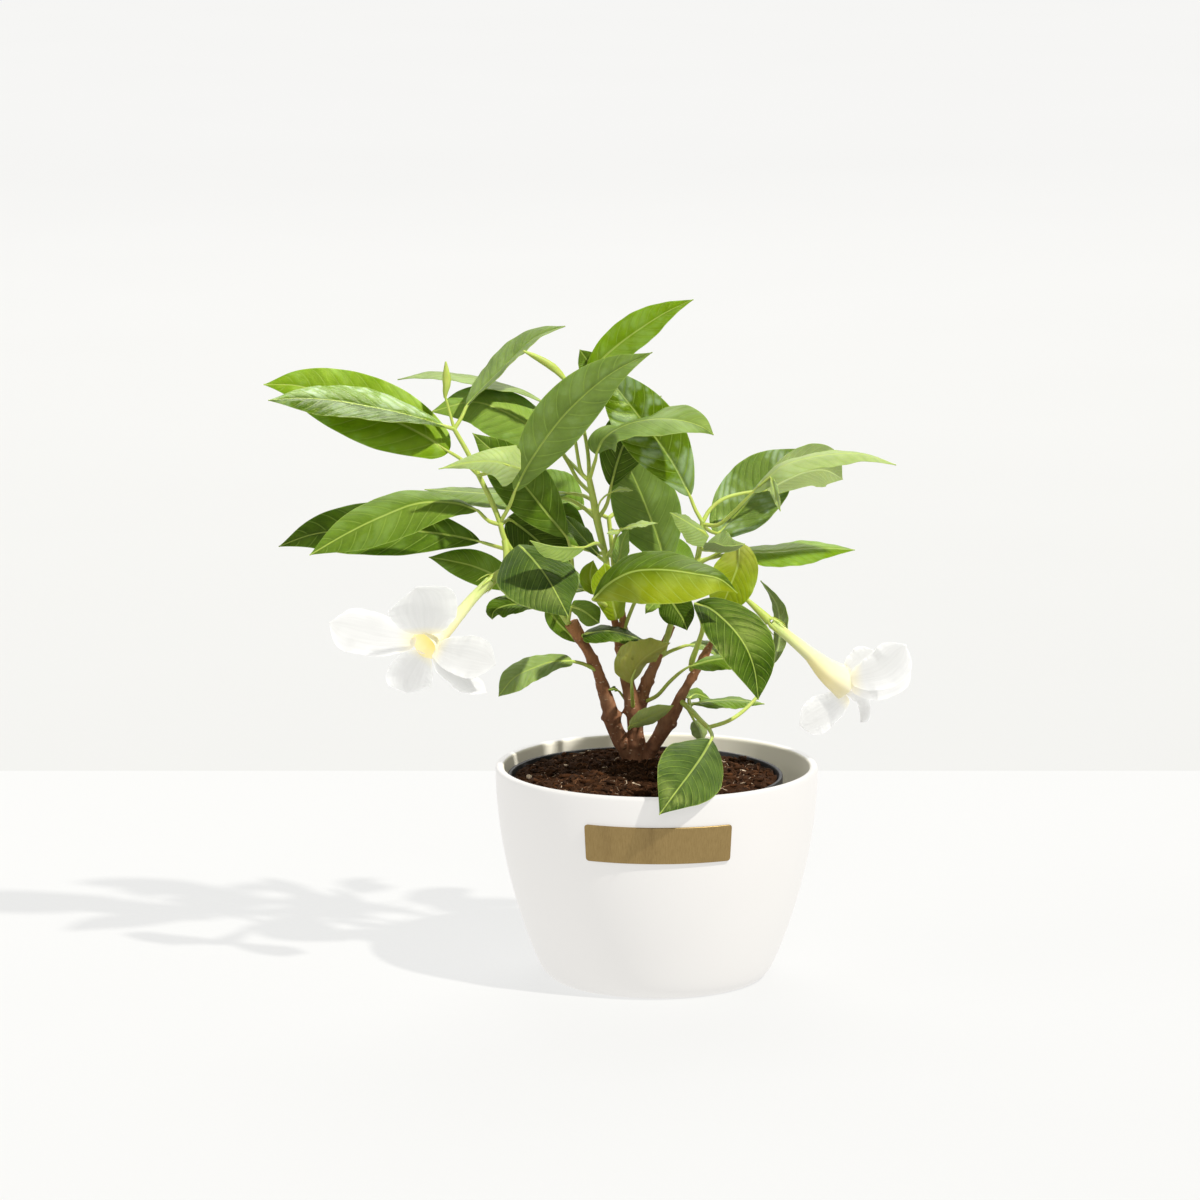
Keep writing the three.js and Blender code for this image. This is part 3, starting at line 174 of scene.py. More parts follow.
LEFT_LEAVES = [
    dict(stalk=[[-100, -4, 275.5]], half=17, face=[68, 65, 62, 56, 50], fold=[14, 14, 11, 4, -4],
         rib=[[-105, -6, 277], [-116.7, -9, 280.6], [-128.5, -12, 283.7], [-145, -15, 287],
              [-159.4, -18, 289.5], [-176, -21, 290.6], [-191.4, -24, 289.8]]),
    dict(stalk=[[-88, -6, 252.5], [-96, -5, 260]], half=17, face=[12, 14], fold=[4, 6], form="broad",
         rib=[[-104.3, -2, 265.2], [-112, -1, 270.4], [-122.3, 0, 276.1], [-137.8, 2, 283.1],
              [-157, 4, 290.8], [-177.3, 4, 297], [-193.6, 2, 297.6]]),
    dict(stalk=[[-100, -4, 275.5], [-96.5, -2, 281]], half=14, face=[-68, -66], fold=[20, 20],
         rib=[[-93.5, 1, 287.5], [-88, 5, 293.5], [-80, 9, 301.5], [-70, 15, 311.5], [-60, 18, 320.5],
              [-45.3, 20, 326.6]]),
    dict(stalk=[[-88, -6, 252.5], [-80, -18, 254.5]], half=11, face=[0, 20], fold=[-14, -10],
         form="arrow", small=True,
         rib=[[-71.6, -29, 257], [-80, -32, 259.4], [-92, -34, 259], [-107.8, -37, 255.6]]),
    dict(stalk=[[-78, -8, 228], [-83, -10, 229.5]], half=13.2, face=[46, 4], fold=[-20, -12],
         rib=[[-89, -14, 235.2], [-100, -17, 238.6], [-118, -21, 238.4], [-135, -25, 232.2],
              [-152, -29, 224], [-171.8, -34, 212.5]]),
    dict(stalk=[[-71.6, -7, 214.6], [-80, 0, 217]], half=15, face=[26, 20], fold=[12, 12],
         rib=[[-88, 8, 219.4], [-104, 12, 222.6], [-125, 15, 225], [-150, 17, 225], [-170, 18, 222.8],
              [-187, 18, 216.8]]),
    dict(stalk=[[-58, 1, 197]], half=8.6, face=[-30, 20], fold=[8, 8], small=True,
         rib=[[-66, 8, 195], [-79, 12, 202], [-91, 15, 207], [-102, 17, 209.6], [-113, 18, 211.5]]),
    dict(stalk=[[-54, 1, 192]], half=6.5, face=[52, 24], fold=[10, 10], form="petal", small=True,
         rib=[[-58, 8, 187.3], [-66, 10, 187.8], [-75, 11, 187], [-80.6, 10, 184.2], [-81.7, 8, 180.2]]),
    dict(stalk=[[-71, -6, 213]], half=22.4, face=[-34, -36, -34], fold=[-12, -12, -12], form="broad",
         rib=[[-67, -14, 216.5], [-61, -24, 210], [-54, -32, 200.5], [-48.5, -37, 190.5],
              [-44, -39, 181.5]]),
    dict(stalk=[[-77.5, -8, 229], [-73, -12, 237]], half=14, face=[6, 0, -20], fold=[16, 20, 32],
         rib=[[-70, -16, 245], [-64.5, -20, 256], [-54.5, -25, 271.5], [-42.5, -30, 286],
              [-22, -36, 303.5], [-2.5, -38, 313.6]]),
    dict(stalk=[[-46, 4, 183], [-42, 4, 196], [-42.5, 3, 214]], half=13.4, face=[-6, 6], fold=[14, 10],
         rib=[[-45, 1, 222], [-54, -2, 233], [-66, -3, 248], [-79, -4, 262.5], [-91, -4, 273.5]]),
    dict(stalk=[[-77, -7, 228]], half=14, face=[0, 0], fold=[10, 10], form="broad",
         rib=[[-72.5, 4, 230.5], [-64, 10, 224], [-55, 15, 216], [-42, 19, 203]]),
    dict(stalk=[[-47, 4, 184]], half=5, face=[10, 10], fold=[14, 10], small=True,
         rib=[[-54, 8, 188.5], [-51.5, 11, 182], [-46, 12, 175.5], [-38.5, 12, 168]]),
    dict(stalk=[[-44, 4, 179.5]], half=6, face=[20, 10], fold=[-10, -8], form="blunt", small=True,
         rib=[[-42, 0, 187], [-36.5, -3, 184.5], [-28.4, -6, 178.4]]),
]

CENTRE_STEMS = [
    dict(path=[[-23.5, 6, 190], [-24.5, 6, 203], [-25.4, 5, 212], [-27.8, 4, 222], [-30, 3, 232],
               [-31.6, 2, 241], [-33.5, 1, 250.5]], radii=[1.7, 1.6, 1.9, 1.5]),
    dict(path=[[-33.5, 1, 250], [-37, 4, 253], [-39.8, 6, 266], [-42, 6, 284], [-44, 5, 298.6]],
         radii=[1, 0.7]),
    dict(path=[[-44, 5, 298], [-48, 5, 303], [-52, 4, 306.6], [-56.5, 4, 309.6], [-61, 3, 312],
               [-66, 2, 314.3]], radii=[0.7, 1.5, 2, 1.8, 1.3, 0.4]),
    dict(path=[[-25, 5, 212], [-21.8, -2, 216.5], [-20.3, -6, 222], [-17.5, -9, 226]], radii=[1, 0.7]),
]
CENTRE_LEAVES = [
    dict(stalk=[[-33.5, 1, 250], [-31.4, -8, 257], [-30.2, -17, 261]], half=13,
         face=[26, -70, -66, -50, -42], fold=[-30, -6, -10, 14, 22], form="blunt",
         rib=[[-29.7, -21, 264], [-26.8, -25, 270], [-21.5, -27, 274.4], [-12.4, -28, 278.4],
              [-1, -29, 280.3], [11.4, -30, 279.6], [21.3, -31, 276.6], [27.8, -32, 272.6]]),
    dict(stalk=[[-33.5, 1, 249.5], [-40, 12, 256], [-46.5, 20, 263.5], [-50, 24, 276]], half=13,
         face=[79, 77], fold=[4, 4],
         rib=[[-56, 27, 288.8], [-67, 29, 294.3], [-78, 30, 297.3], [-92, 31, 300.4], [-110, 32, 302.8],
              [-127.7, 33, 300.1]]),
    dict(stalk=[[-32, 2, 243], [-39, 10, 250], [-43.5, 14, 258]], half=14, face=[20, 30], fold=[-12, -10],
         form="broad",
         rib=[[-50, 17, 268], [-62, 19, 276.5], [-75, 20, 284], [-90, 20, 288.8], [-111.5, 18, 284]]),
    dict(stalk=[[-31.8, 2, 240], [-37, 10, 242.5]], half=12, face=[64, 62], fold=[-4, -4],
         rib=[[-44, 17, 243.5], [-60, 20, 243], [-78, 22, 243], [-96, 23, 244], [-114.8, 24, 245.4]]),
    dict(stalk=[[-30, 3, 230.5], [-38, 10, 237.6], [-46, 17, 241]], half=8, face=[10, 10], fold=[10, 10],
         small=True, rib=[[-54, 23, 240], [-50, 26, 234], [-42, 28, 229], [-35, 28, 225.5]]),
    dict(stalk=[[-25.6, 5, 209.5]], half=8, face=[58, 58], fold=[10, 10], small=True,
         rib=[[-29, 9, 212], [-34, 11, 218], [-40, 12, 225], [-47, 13, 233]]),
    dict(stalk=[[-29, 3, 231], [-25, 4, 237.5]], half=12.5, face=[8, -6], fold=[12, 10],
         rib=[[-22.7, 4, 247.5], [-20, 3, 258], [-15.5, 3, 270], [-8, 4, 281], [2, 5, 292]]),
    dict(stalk=[[-29.5, 3, 232], [-28.6, 0, 238.5], [-25.5, -1, 242.3]], half=1.6, face=[40, 40],
         fold=[10, 10], form="narrow", small=True, stalk_radius=0.5,
         rib=[[-22, -2, 244.3], [-17.5, -3, 245.6], [-12, -4, 244.8]]),
    dict(stalk=[[-18.5, -8, 224.5]], half=2.6, face=[-62, -50], fold=[10, 10], form="narrow", small=True,
         stalk_radius=0.5, rib=[[-17, -9.5, 225.6], [-10, -12, 227.6], [0.2, -14, 228.6]]),
    dict(stalk=[[-18.5, -8, 224.5]], half=2, face=[40, 40], fold=[10, 10], form="narrow", small=True,
         stalk_radius=0.5, rib=[[-18.8, -10, 225], [-21, -12, 224.2], [-24.8, -14, 223.4]]),
    dict(stalk=[[-23.6, 6, 200]], half=4.6, face=[30, 30], fold=[16, 10], small=True,
         rib=[[-20, 0, 207.5], [-18.4, -5, 213], [-17, -7, 220], [-14, -7, 226]]),
    dict(stalk=[[-33.5, 1, 250], [-34, 8, 262], [-37, 12, 284]], half=9.8, face=[-4, -44], fold=[12, 16],
         rib=[[-35.5, 12, 300], [-28, 11, 309.3], [-19, 10, 317.4], [-8, 8, 325.4], [4, 6, 333],
              [17.6, 4, 339.7]]),
    dict(stalk=[[-36.6, 12, 282]], half=6, face=[0, 0], fold=[10, 10], small=True,
         rib=[[-30.5, 17, 298], [-33, 17, 307], [-38.2, 16, 315]]),
    dict(stalk=[[-27, 4, 216], [-30, -14, 218.5]], half=7, face=[60, 60], fold=[-30, -30], small=True,
         rib=[[-36.2, -36, 216.4], [-44, -40, 216.4], [-52, -43, 217], [-63, -45, 219.8]]),
]

RIGHT_STEMS = [
    dict(path=[[3, 8, 163], [7, 4, 178], [12, -2, 190], [17, -6, 201], [20.5, -7, 213], [22.5, -7, 229]],
         radii=[1.5, 1.5, 1.5, 1.3]),
    dict(path=[[20.5, -7, 212], [21.5, -14, 216], [23, -23, 222]], radii=[1.1, 0.9]),
    dict(path=[[16, -5, 198], [26, 0, 199], [36, 3, 197], [44, 2, 190.6], [50, 0, 185],
               [55.8, -2, 179.3]], radii=[1, 1, 1.1, 2.4]),
]
RIGHT_LEAVES = [
    dict(stalk=[[22.5, -7, 229], [19, -6, 235]], half=15.5, face=[4, -4], fold=[16, 14],
         rib=[[16, -6, 242.5], [10, -7, 254.7], [5, -8, 262.8], [-1, -8, 271.5], [-9, -8, 281.9],
              [-20, -7, 296.2], [-29, -6, 308]]),
    dict(stalk=[[22.5, -7, 227.5], [26, 0, 224.6]], half=17.8, face=[-20, -24], fold=[26, 20],
         form="broad",
         rib=[[30.5, 8, 223.6], [37, 12, 230.3], [44.5, 14, 238.5], [56.5, 16, 251.8], [65, 16, 259.6],
              [72, 15, 266]]),
    dict(stalk=[[22.5, -7, 228], [30, -11, 227.6], [37, -15, 233.4], [43, -19, 239.6]], half=8.6,
         face=[-58, -64], fold=[-10, -10], form="broad",
         rib=[[48, -22, 245], [55, -24, 251.6], [62, -25, 257], [72.5, -26, 260.6], [86, -27, 262.8],
              [101, -29, 262.8], [117.8, -32, 257.6]]),
    dict(stalk=[[22.5, -7, 229], [26.2, -4, 235.5], [33, -1, 240.8], [43, 2, 243.6]], half=12.8,
         face=[155, 160], fold=[-26, -22], form="blunt",
         rib=[[56, 4, 245.4], [65, 8, 250.4], [74, 12, 254], [83, 14, 254.6], [91.5, 14, 250.4]]),
    dict(stalk=[[50, -23.4, 247]], half=2.4, face=[30, 30], fold=[20, 20], form="narrow", small=True,
         stalk_radius=0.6, rib=[[56.4, -27, 251.6], [57.6, -31, 246.6], [60.8, -34, 234.4]]),
    dict(stalk=[[22.8, -22, 221]], half=9, face=[50, 50], fold=[-18, -14], form="heart", small=True,
         rib=[[23.4, -25, 223.6], [15.5, -29, 228.6], [6.3, -33, 233.8]]),
    dict(stalk=[[21.4, -13, 215.6]], half=11, face=[-63, -60], fold=[60, 56], form="broad", small=True,
         rib=[[24.6, -22, 215], [32.2, -27, 214.2], [38.6, -30, 215.2], [43.4, -31, 218.2]]),
    dict(stalk=[[20, -7, 209.5], [28, -4, 211.4]], half=9.5, face=[-48, -52], fold=[-10, -8],
         rib=[[36, -2, 213.2], [46, -1, 213.9], [60, -1, 214.3], [78, -2, 216], [97.8, -5, 215.1]]),
    dict(stalk=[[19.5, -7, 208], [27, -11, 211.6], [34, -14, 215.4]], half=11.8, face=[-14, -10],
         fold=[10, 12], form="broad",
         rib=[[40.6, -15, 217.2], [40, -16, 208], [37, -17, 199], [33.5, -18, 190], [29.5, -18, 180]]),
    dict(stalk=[[13, -3, 191.6], [10, -14, 193]], half=8.8, face=[10, 0], fold=[16, 10], form="broad",
         small=True, rib=[[4.8, -21, 193.4], [9, -25, 186.6], [12.8, -28, 180.6], [15, -30, 174.7]]),
    dict(stalk=[[10, -14, 193]], half=3.6, face=[20, 20], fold=[20, 20], form="broad", small=True,
         rib=[[2.5, -20, 190.6], [-1.8, -23, 187.6], [-5.8, -25, 183.2]]),
]

# The big leaf in front has a stalk of its own, which rises from the middle branch
FRONT_STEMS = [
    dict(path=[[-21.6, 6, 181], [-25, -8, 187], [-30, -26, 190]], radii=[1.2, 1]),
]
FRONT_LEAVES = [
    dict(stalk=[[-30, -25, 190]], half=16.5, face=[-30, -40], fold=[-20, -14],
         rib=[[-31.5, -38, 190.6], [-23.5, -46, 198.4], [-12, -52, 204.2], [2, -55, 205.2],
              [18, -55, 203.2], [31, -54, 200.4], [39.8, -52, 193.4]]),
    dict(stalk=[[-21.8, 4, 181.6]], half=8.6, face=[10, 10], fold=[10, 10], form="blunt", small=True,
         rib=[[-20.2, -6, 181], [-22, -9, 189], [-24.6, -11, 199], [-26, -11, 208.5]]),
]

# The leaf that droops in front on the right, on a stalk from the right branch
DROOPING_STEMS = [
    dict(path=[[17.5, 3, 155], [17.4, -3, 159], [20.5, -10, 168], [22.8, -18, 177], [20, -26, 185]],
         radii=[1.6, 1.3, 1.1]),
]
DROOPING_LEAVES = [
    dict(stalk=[[20.2, -26, 184.5]], half=16.8, face=[-40, -30], fold=[8, 14],
         rib=[[19, -31, 188], [25.5, -35, 186], [32.4, -39, 180.6], [39.2, -43, 173.4], [44.6, -46, 165],
              [48.2, -48, 155], [50.4, -49, 139.6]]),
]

# The low stem in front on the right, whose last leaf hangs over the planter's rim
LOW_STEMS = [
    dict(path=[[12, 6, 139], [17, -4, 134.3], [22, -16, 129], [25.8, -27, 125.4]], radii=[1.5, 1.3, 1.2]),
]
LOW_LEAVES = [
    dict(stalk=[[25.6, -26, 125.6], [27.6, -34, 121.5]], half=16.6, face=[0, 4], fold=[8, 6], bow=-0.16,
         rib=[[27, -40, 119], [22.8, -54, 111.5], [17.2, -70, 103.2], [9.6, -86, 92.8],
              [1.4, -94, 81.2]]),
    dict(stalk=[[25.6, -26, 125.6], [34.7, -24, 128.5], [42.1, -18, 133.2], [50, -9, 141.4],
                [55, -1, 150]], half=5.4, face=[138, 122], fold=[14, 14], form="narrow",
         rib=[[58, 4, 158], [60.5, 8, 168], [61, 10, 178], [59.4, 11, 188], [51.3, 12, 199.8]]),
    dict(stalk=[[15.6, -2, 134.8], [17.6, -4, 131]], half=4.6, face=[150, 150], fold=[10, 10],
         form="broad", small=True, stalk_radius=0.7,
         rib=[[18.8, -5, 128.6], [21, -7, 124.6], [22.6, -8, 118]]),
    dict(stalk=[[16.4, -3, 134.8], [16.6, 1, 136.4]], half=6.5, face=[-66, -64], fold=[-6, -6],
         small=True, rib=[[18, 4, 137.6], [27, 4, 138.8], [38, 3, 139.4], [53.5, 0, 137.5]]),
    dict(stalk=[[16.6, 1, 136.4]], half=4.5, face=[-50, -50], fold=[6, 6], form="broad", small=True,
         rib=[[16, 7, 140.2], [19.5, 12, 142.4], [26.5, 14, 140]]),
]

# Leaves that sprout straight from the wood
WOOD_LEAVES = dict(
    leaf_low_left=dict(stalk=[[-30, 9, 154.6], [-36.5, 4, 157.8]], half=8.8, face=[52, 36], fold=[12, 0],
                       form="blunt",
                       rib=[[-43, 0, 159.2], [-52, -3, 158.6], [-61, -6, 155.6], [-70.5, -9, 150.8],
                            [-78.6, -11, 141.3]]),
    leaf_low_dark=dict(stalk=[[-37.6, 6, 171.4]], half=7.4, face=[-56, -54], fold=[-6, -4], form="heart",
                       small=True,
                       rib=[[-34.5, 0, 173], [-25, -3, 174.4], [-14, -3, 172], [-2.6, -3, 167.2]]),
    leaf_old=dict(stalk=[[-11.8, 13, 136], [-12.2, 2, 141], [-12.4, -6, 147]], half=11, face=[32, 30],
                  fold=[-32, -26], form="heart", wave=1,
                  rib=[[-12.2, -9, 151], [-9.6, -12, 157], [-3.2, -15, 163], [6.6, -17, 168.4]]),
    leaf_low_pale=dict(stalk=[[-11, 15, 127.5], [-14, 3, 124.6]], half=4.8, face=[26, 26], fold=[-6, -6],
                       form="broad", small=True, stalk_radius=0.7,
                       rib=[[-13, -5, 126.6], [-4, -9, 131], [8.4, -11, 136.7]]),
    leaf_behind_branch=dict(stalk=[[-5, 15, 139], [0.5, 7, 142], [6, 1, 148.3], [12, -6, 153.8]], half=6,
                            face=[-40, -50], fold=[-20, -10],
                            rib=[[16.5, -10, 156.6], [27, -13, 159.6], [38, -15, 160.6], [50, -17, 159]]),
    leaf_middle_thin=dict(stalk=[[1.4, 12, 161], [5, 15, 163.3], [9.5, 17, 165.3]], half=5,
                          face=[-58, -50], fold=[6, 6], small=True,
                          rib=[[15.5, 18, 167.3], [23, 18, 167.4], [31, 18, 164.5], [38, 18, 160.5]]),
    sprout_low=dict(stalk=[[-15.6, 17, 139.6]], half=1.4, face=[40, 40], fold=[10, 10], form="narrow",
                    small=True, stalk_radius=0.6,
                    rib=[[-19.2, 12, 144.4], [-21.4, 10, 145.2], [-24.2, 9, 144.6]]),
    leaf_behind=dict(stalk=[[-17.5, 8, 171], [-13.8, 3, 182], [-9.8, 4, 191], [-3, 8, 199]], half=17,
                     face=[-8, 6], fold=[14, 12],
                     rib=[[4.5, 11, 207], [0.5, 12, 221], [-4, 12, 233], [-8.5, 12, 244.5],
                          [-13.5, 12, 255.5], [-21, 12, 267]]),
    leaf_between=dict(stalk=[[-22.4, 8, 184]], half=5.6, face=[-10, -10], fold=[8, 8], form="broad",
                      small=True, rib=[[-30, 12, 193.5], [-33, 12, 201.5], [-31.6, 11, 210]]),
)

# Leaves on the far side, which fill the plant out to the back
BACK_STEMS = [
    dict(path=[[-11.5, 22, 128], [-13, 26, 150], [-16, 30, 172], [-20, 33, 194], [-22, 35, 214],
               [-24, 36, 232]], radii=[1.9, 1.6, 1.4, 1.1]),
]
BACK_LEAVES = [
    dict(stalk=[[-24, 36, 231], [-30, 40, 234]], half=14, face=[30, 30], fold=[10, 10], small=True,
         rib=[[-37, 44, 236], [-48, 54, 242], [-58, 66, 246], [-66, 80, 245]]),
    dict(stalk=[[-24, 36, 231], [-18, 40, 236]], half=13, face=[-20, -20], fold=[10, 10], small=True,
         rib=[[-13, 44, 240], [-8, 54, 246], [-5, 66, 249], [-3, 80, 246]]),
    dict(stalk=[[-22, 35, 212], [-30, 38, 214]], half=12, face=[40, 40], fold=[10, 10], small=True,
         rib=[[-38, 42, 216], [-50, 50, 219], [-62, 60, 220], [-73, 72, 216]]),
    dict(stalk=[[-21.5, 34.6, 208], [-12, 38, 210]], half=13, face=[-50, -50], fold=[10, 10], small=True,
         rib=[[-4, 42, 211], [6, 52, 212], [14, 64, 210], [20, 78, 204]]),
    dict(stalk=[[-20, 33, 193], [-14, 38, 195]], half=13, face=[-40, -40], fold=[10, 10], small=True,
         rib=[[-8, 44, 196], [0, 56, 198], [6, 70, 197], [9, 86, 191]]),
    dict(stalk=[[-20, 33, 192], [-28, 38, 194]], half=12.5, face=[50, 50], fold=[10, 10], small=True,
         rib=[[-36, 44, 195], [-46, 56, 197], [-54, 70, 196], [-60, 84, 190]]),
]

# The blooms: each has a tube that widens to an open throat, and five petals
BLOOMS = dict(
    bloom_left=dict(
        tube=dict(path=[[-82.5, -14.4, 199.8], [-91.5, -17, 190.5], [-99.5, -20, 181], [-107, -25, 173.8],
                        [-115.4, -34, 167]], radii=[2.4, 2.6, 3.1, 4.8, 7.6]),
        petals=[
            dict(half=12, face=[24, 20], fold=[4, 4],
                 rib=[[-119.2, -30, 169.8], [-134, -29, 171], [-148, -25, 174], [-162.5, -20, 178.5]]),
            dict(half=17, face=[0, 0], fold=[4, 4],
                 rib=[[-115, -35.8, 172.8], [-115.5, -43, 180], [-116.5, -49, 188.5],
                      [-119.5, -53, 196.5]]),
            dict(half=11, face=[-20, -20], fold=[6, 6],
                 rib=[[-109.6, -35.8, 165.8], [-101, -43, 163], [-91, -48.5, 160.4], [-80, -53, 157.5]]),
            dict(half=11.5, face=[0, 0], fold=[4, 4],
                 rib=[[-115.2, -28.6, 163.2], [-120, -28, 156], [-123, -26.5, 150], [-124, -24, 143]]),
            dict(half=9, face=[-50, -56], fold=[4, 4],
                 rib=[[-109.8, -34, 163.8], [-104, -38.5, 155], [-95, -41, 148.6], [-84.5, -43, 143]]),
        ],
    ),
    bloom_right=dict(
        tube=dict(path=[[56.9, -2.3, 178.4], [66, -2, 171], [76, -1, 162.6], [85, 1, 154.2],
                        [94.5, 4, 148]], radii=[2.5, 2.7, 3.5, 6, 8.6]),
        petals=[
            dict(half=7.5, face=[150, 150], fold=[4, 4],
                 rib=[[94, -1, 153.5], [98.5, 0, 157.5], [103, 1, 161], [107.5, 2, 164.6]]),
            dict(half=10.5, face=[160, 170], fold=[4, 4],
                 rib=[[96, -3, 151], [105, -6, 152.5], [114, -8, 156.5], [123.5, -9, 167.5]]),
            dict(half=9.5, face=[200, 200], fold=[4, 4],
                 rib=[[97, -2, 147], [107, 2, 147], [116, 6, 150.5], [126, 10, 158.5]]),
            dict(half=5, face=[235, 235], fold=[4, 4],
                 rib=[[92.5, 3, 144], [100, 5, 140.6], [103, 8, 135], [101.4, 12, 128]]),
            dict(half=9.8, face=[152, 160], fold=[4, 4],
                 rib=[[94.5, 4, 141.8], [89, 4, 137.6], [81, 2, 132], [71, -1, 126.6]]),
        ],
    ),
)

# Narrow sepals round the foot of each tube
CALYXES = dict(
    shoot_left=dict(foot=[-82.2, -14.2, 200.2], towards=[-90, -18, 193.2], length=6.5),
    shoot_right=dict(foot=[56.4, -2.2, 178.8], towards=[66, -2, 171], length=7),
)

# The wood: branches that rise from one crown
BRANCHES = [
    dict(path=[[-9, 20, 100], [-12, 20, 108], [-17.3, 18.5, 118], [-21.3, 16, 126], [-23.4, 14, 134.7],
               [-26.4, 12, 145], [-29.8, 10, 155.5], [-36.5, 7, 168], [-42.5, 5, 178.6]],
         radii=[4.8, 3.9, 4, 4.1, 3.6, 2.8, 2.5, 2.6, 3.7]),
    dict(path=[[-9, 21, 98], [-9.8, 20, 108], [-10.5, 18, 120.7], [-11.4, 16, 134], [-13.4, 14, 144],
               [-17.4, 11, 160], [-20, 8, 174], [-22.6, 6, 188]],
         radii=[6.2, 4.8, 3.9, 4.2, 3, 2.1, 1.8, 1.5]),
    dict(path=[[-12, 16, 136], [-14.5, 12, 152], [-14.8, 9, 166], [-16.4, 6, 177], [-17, 5, 185]],
         radii=[3, 2.2, 1.9, 2, 1.3]),
    dict(path=[[-10, 17, 128], [-7.4, 17, 141], [-3.6, 15, 152], [0.2, 12, 160], [3.4, 9, 168],
               [8, 7, 177]], radii=[3.6, 3.5, 2.9, 2.4, 1.9, 1.4]),
    dict(path=[[-7, 20, 100], [-4.6, 19, 110], [-1.6, 17, 116.4], [2.6, 14, 123.6], [5.6, 11, 129],
               [9.4, 8.5, 135], [13, 6, 143], [17.6, 3, 151], [22.6, 1, 160], [27.2, 0, 168.6]],
         radii=[4.6, 3.6, 3.2, 3.8, 3.8, 2.8, 2.1, 2.1, 2.3, 1.4]),
    dict(path=[[5, 11, 129], [9.5, 8, 126.6]], radii=[2.4, 1.6]),
]


# Finishes
class Field:
    """A socket of a finish. Arithmetic on it adds Math nodes."""

    def __init__(self, finish, socket):
        self.finish, self.socket = finish, socket

    def math(self, operation, *others):
        inputs = {number: other for number, other in enumerate((self, *others))}
        return self.finish.node("ShaderNodeMath", {"operation": operation}, inputs)

    def __add__(self, other):
        return self.math("ADD", other)

    def __sub__(self, other):
        return self.math("SUBTRACT", other)

    def __rsub__(self, other):
        return self.finish.node("ShaderNodeMath", {"operation": "SUBTRACT"}, {0: other, 1: self})

    def __mul__(self, other):
        return self.math("MULTIPLY", other)

    def __truediv__(self, other):
        return self.math("DIVIDE", other)

    __radd__ = __add__
    __rmul__ = __mul__

    def abs(self):
        return self.math("ABSOLUTE")

    def from_whole(self):
        """How far the value is from the nearest whole number"""
        return ((self + 0.5).math("FRACT") - 0.5).abs()

    def step(self, low, high, start=0, end=1):
        """Eases from start to end as the value passes from low to high"""
        return self.finish.node("ShaderNodeMapRange", {"interpolation_type": "SMOOTHSTEP"},
                                {0: self, 1: low, 2: high, 3: start, 4: end})


class Finish:
    """Builds one procedural material"""

    def __init__(self, name, **constants):
        self.material = bpy.data.materials.new(name)
        self.material.use_nodes = True
        self.tree = self.material.node_tree
        self.surface = self.tree.nodes["Principled BSDF"]
        for socket, value in constants.items():
            self.surface.inputs[socket.replace("_", " ")].default_value = value

    def node(self, kind, settings, inputs, output=0):
        node = self.tree.nodes.new(kind)
        for key, value in settings.items():
            setattr(node, key, value)
        for key, value in inputs.items():
            if isinstance(value, Field):
                self.tree.links.new(value.socket, node.inputs[key])
            else:
                node.inputs[key].default_value = value
        return Field(self, node.outputs[output])

    def place(self, layer):
        """The two numbers of a surface layer"""
        uv = self.node("ShaderNodeUVMap", {"uv_map": layer}, {})
        return self.parts(uv)[:2]

    def parts(self, vector):
        split = self.node("ShaderNodeSeparateXYZ", {}, {0: vector})
        return [Field(self, socket) for socket in split.socket.node.outputs]

    def look(self):
        """The four numbers of the look that a piece's points carry"""
        colour = self.node("ShaderNodeAttribute", {"attribute_name": "look"}, {})
        split = self.node("ShaderNodeSeparateColor", {}, {0: colour})
        numbers = [Field(self, socket) for socket in split.socket.node.outputs]
        return [*numbers, Field(self, colour.socket.node.outputs["Alpha"])]

    def where(self):
        """Places on the object in metres"""
        return self.node("ShaderNodeTexCoord", {}, {}, output="Object")

    def stretched(self, vector, scale):
        return self.node("ShaderNodeVectorMath", {"operation": "MULTIPLY"}, {0: vector, 1: scale})

    def vector(self, x, y):
        return self.node("ShaderNodeCombineXYZ", {}, {0: x, 1: y})

    def noise(self, vector, scale, detail=3, rough=0.5):
        return self.node("ShaderNodeTexNoise", {}, {"Vector": vector, "Scale": scale, "Detail": detail,
                                                    "Roughness": rough})

    def cells(self, vector, scale, feature="F1"):
        return self.node("ShaderNodeTexVoronoi", {"feature": feature}, {"Vector": vector, "Scale": scale})

    def mix(self, share, under, over):
        colours = [c if isinstance(c, Field) else (*c, 1) for c in (under, over)]
        inputs = {0: share, 6: colours[0], 7: colours[1]}
        return self.node("ShaderNodeMix", {"data_type": "RGBA"}, inputs, output=2)

    def bump(self, height, strength, distance_mm):
        return self.node("ShaderNodeBump", {}, {"Strength": strength, "Distance": distance_mm * MM,
                                                "Height": height})

    def feed(self, **fields):
        for socket, field in fields.items():
            self.tree.links.new(field.socket, self.surface.inputs[socket.replace("_", " ")])
        return self.material


def vein_marks(finish):
    """The midrib, the side veins, the fine net and how far the skin between the veins swells, from 0 to 1"""
    along, _ = finish.place("place")
    number, across = finish.place("veins")
    rib = (across.abs() / (0.85 - 0.5 * along)).step(0.5, 1.0, 1, 0)
    fade = across.abs().step(0.3, 2.5) * along.step(0.9, 1.0, 1, 0)
    gap = number.from_whole()
    side = gap.step(0.01, 0.07, 1, 0) * fade
    net = finish.cells(finish.vector(number * 4, across * 0.9), 1.0, "DISTANCE_TO_EDGE").step(0, 0.14, 1, 0)
    return rib, side, net, gap.step(0, 0.42) * fade


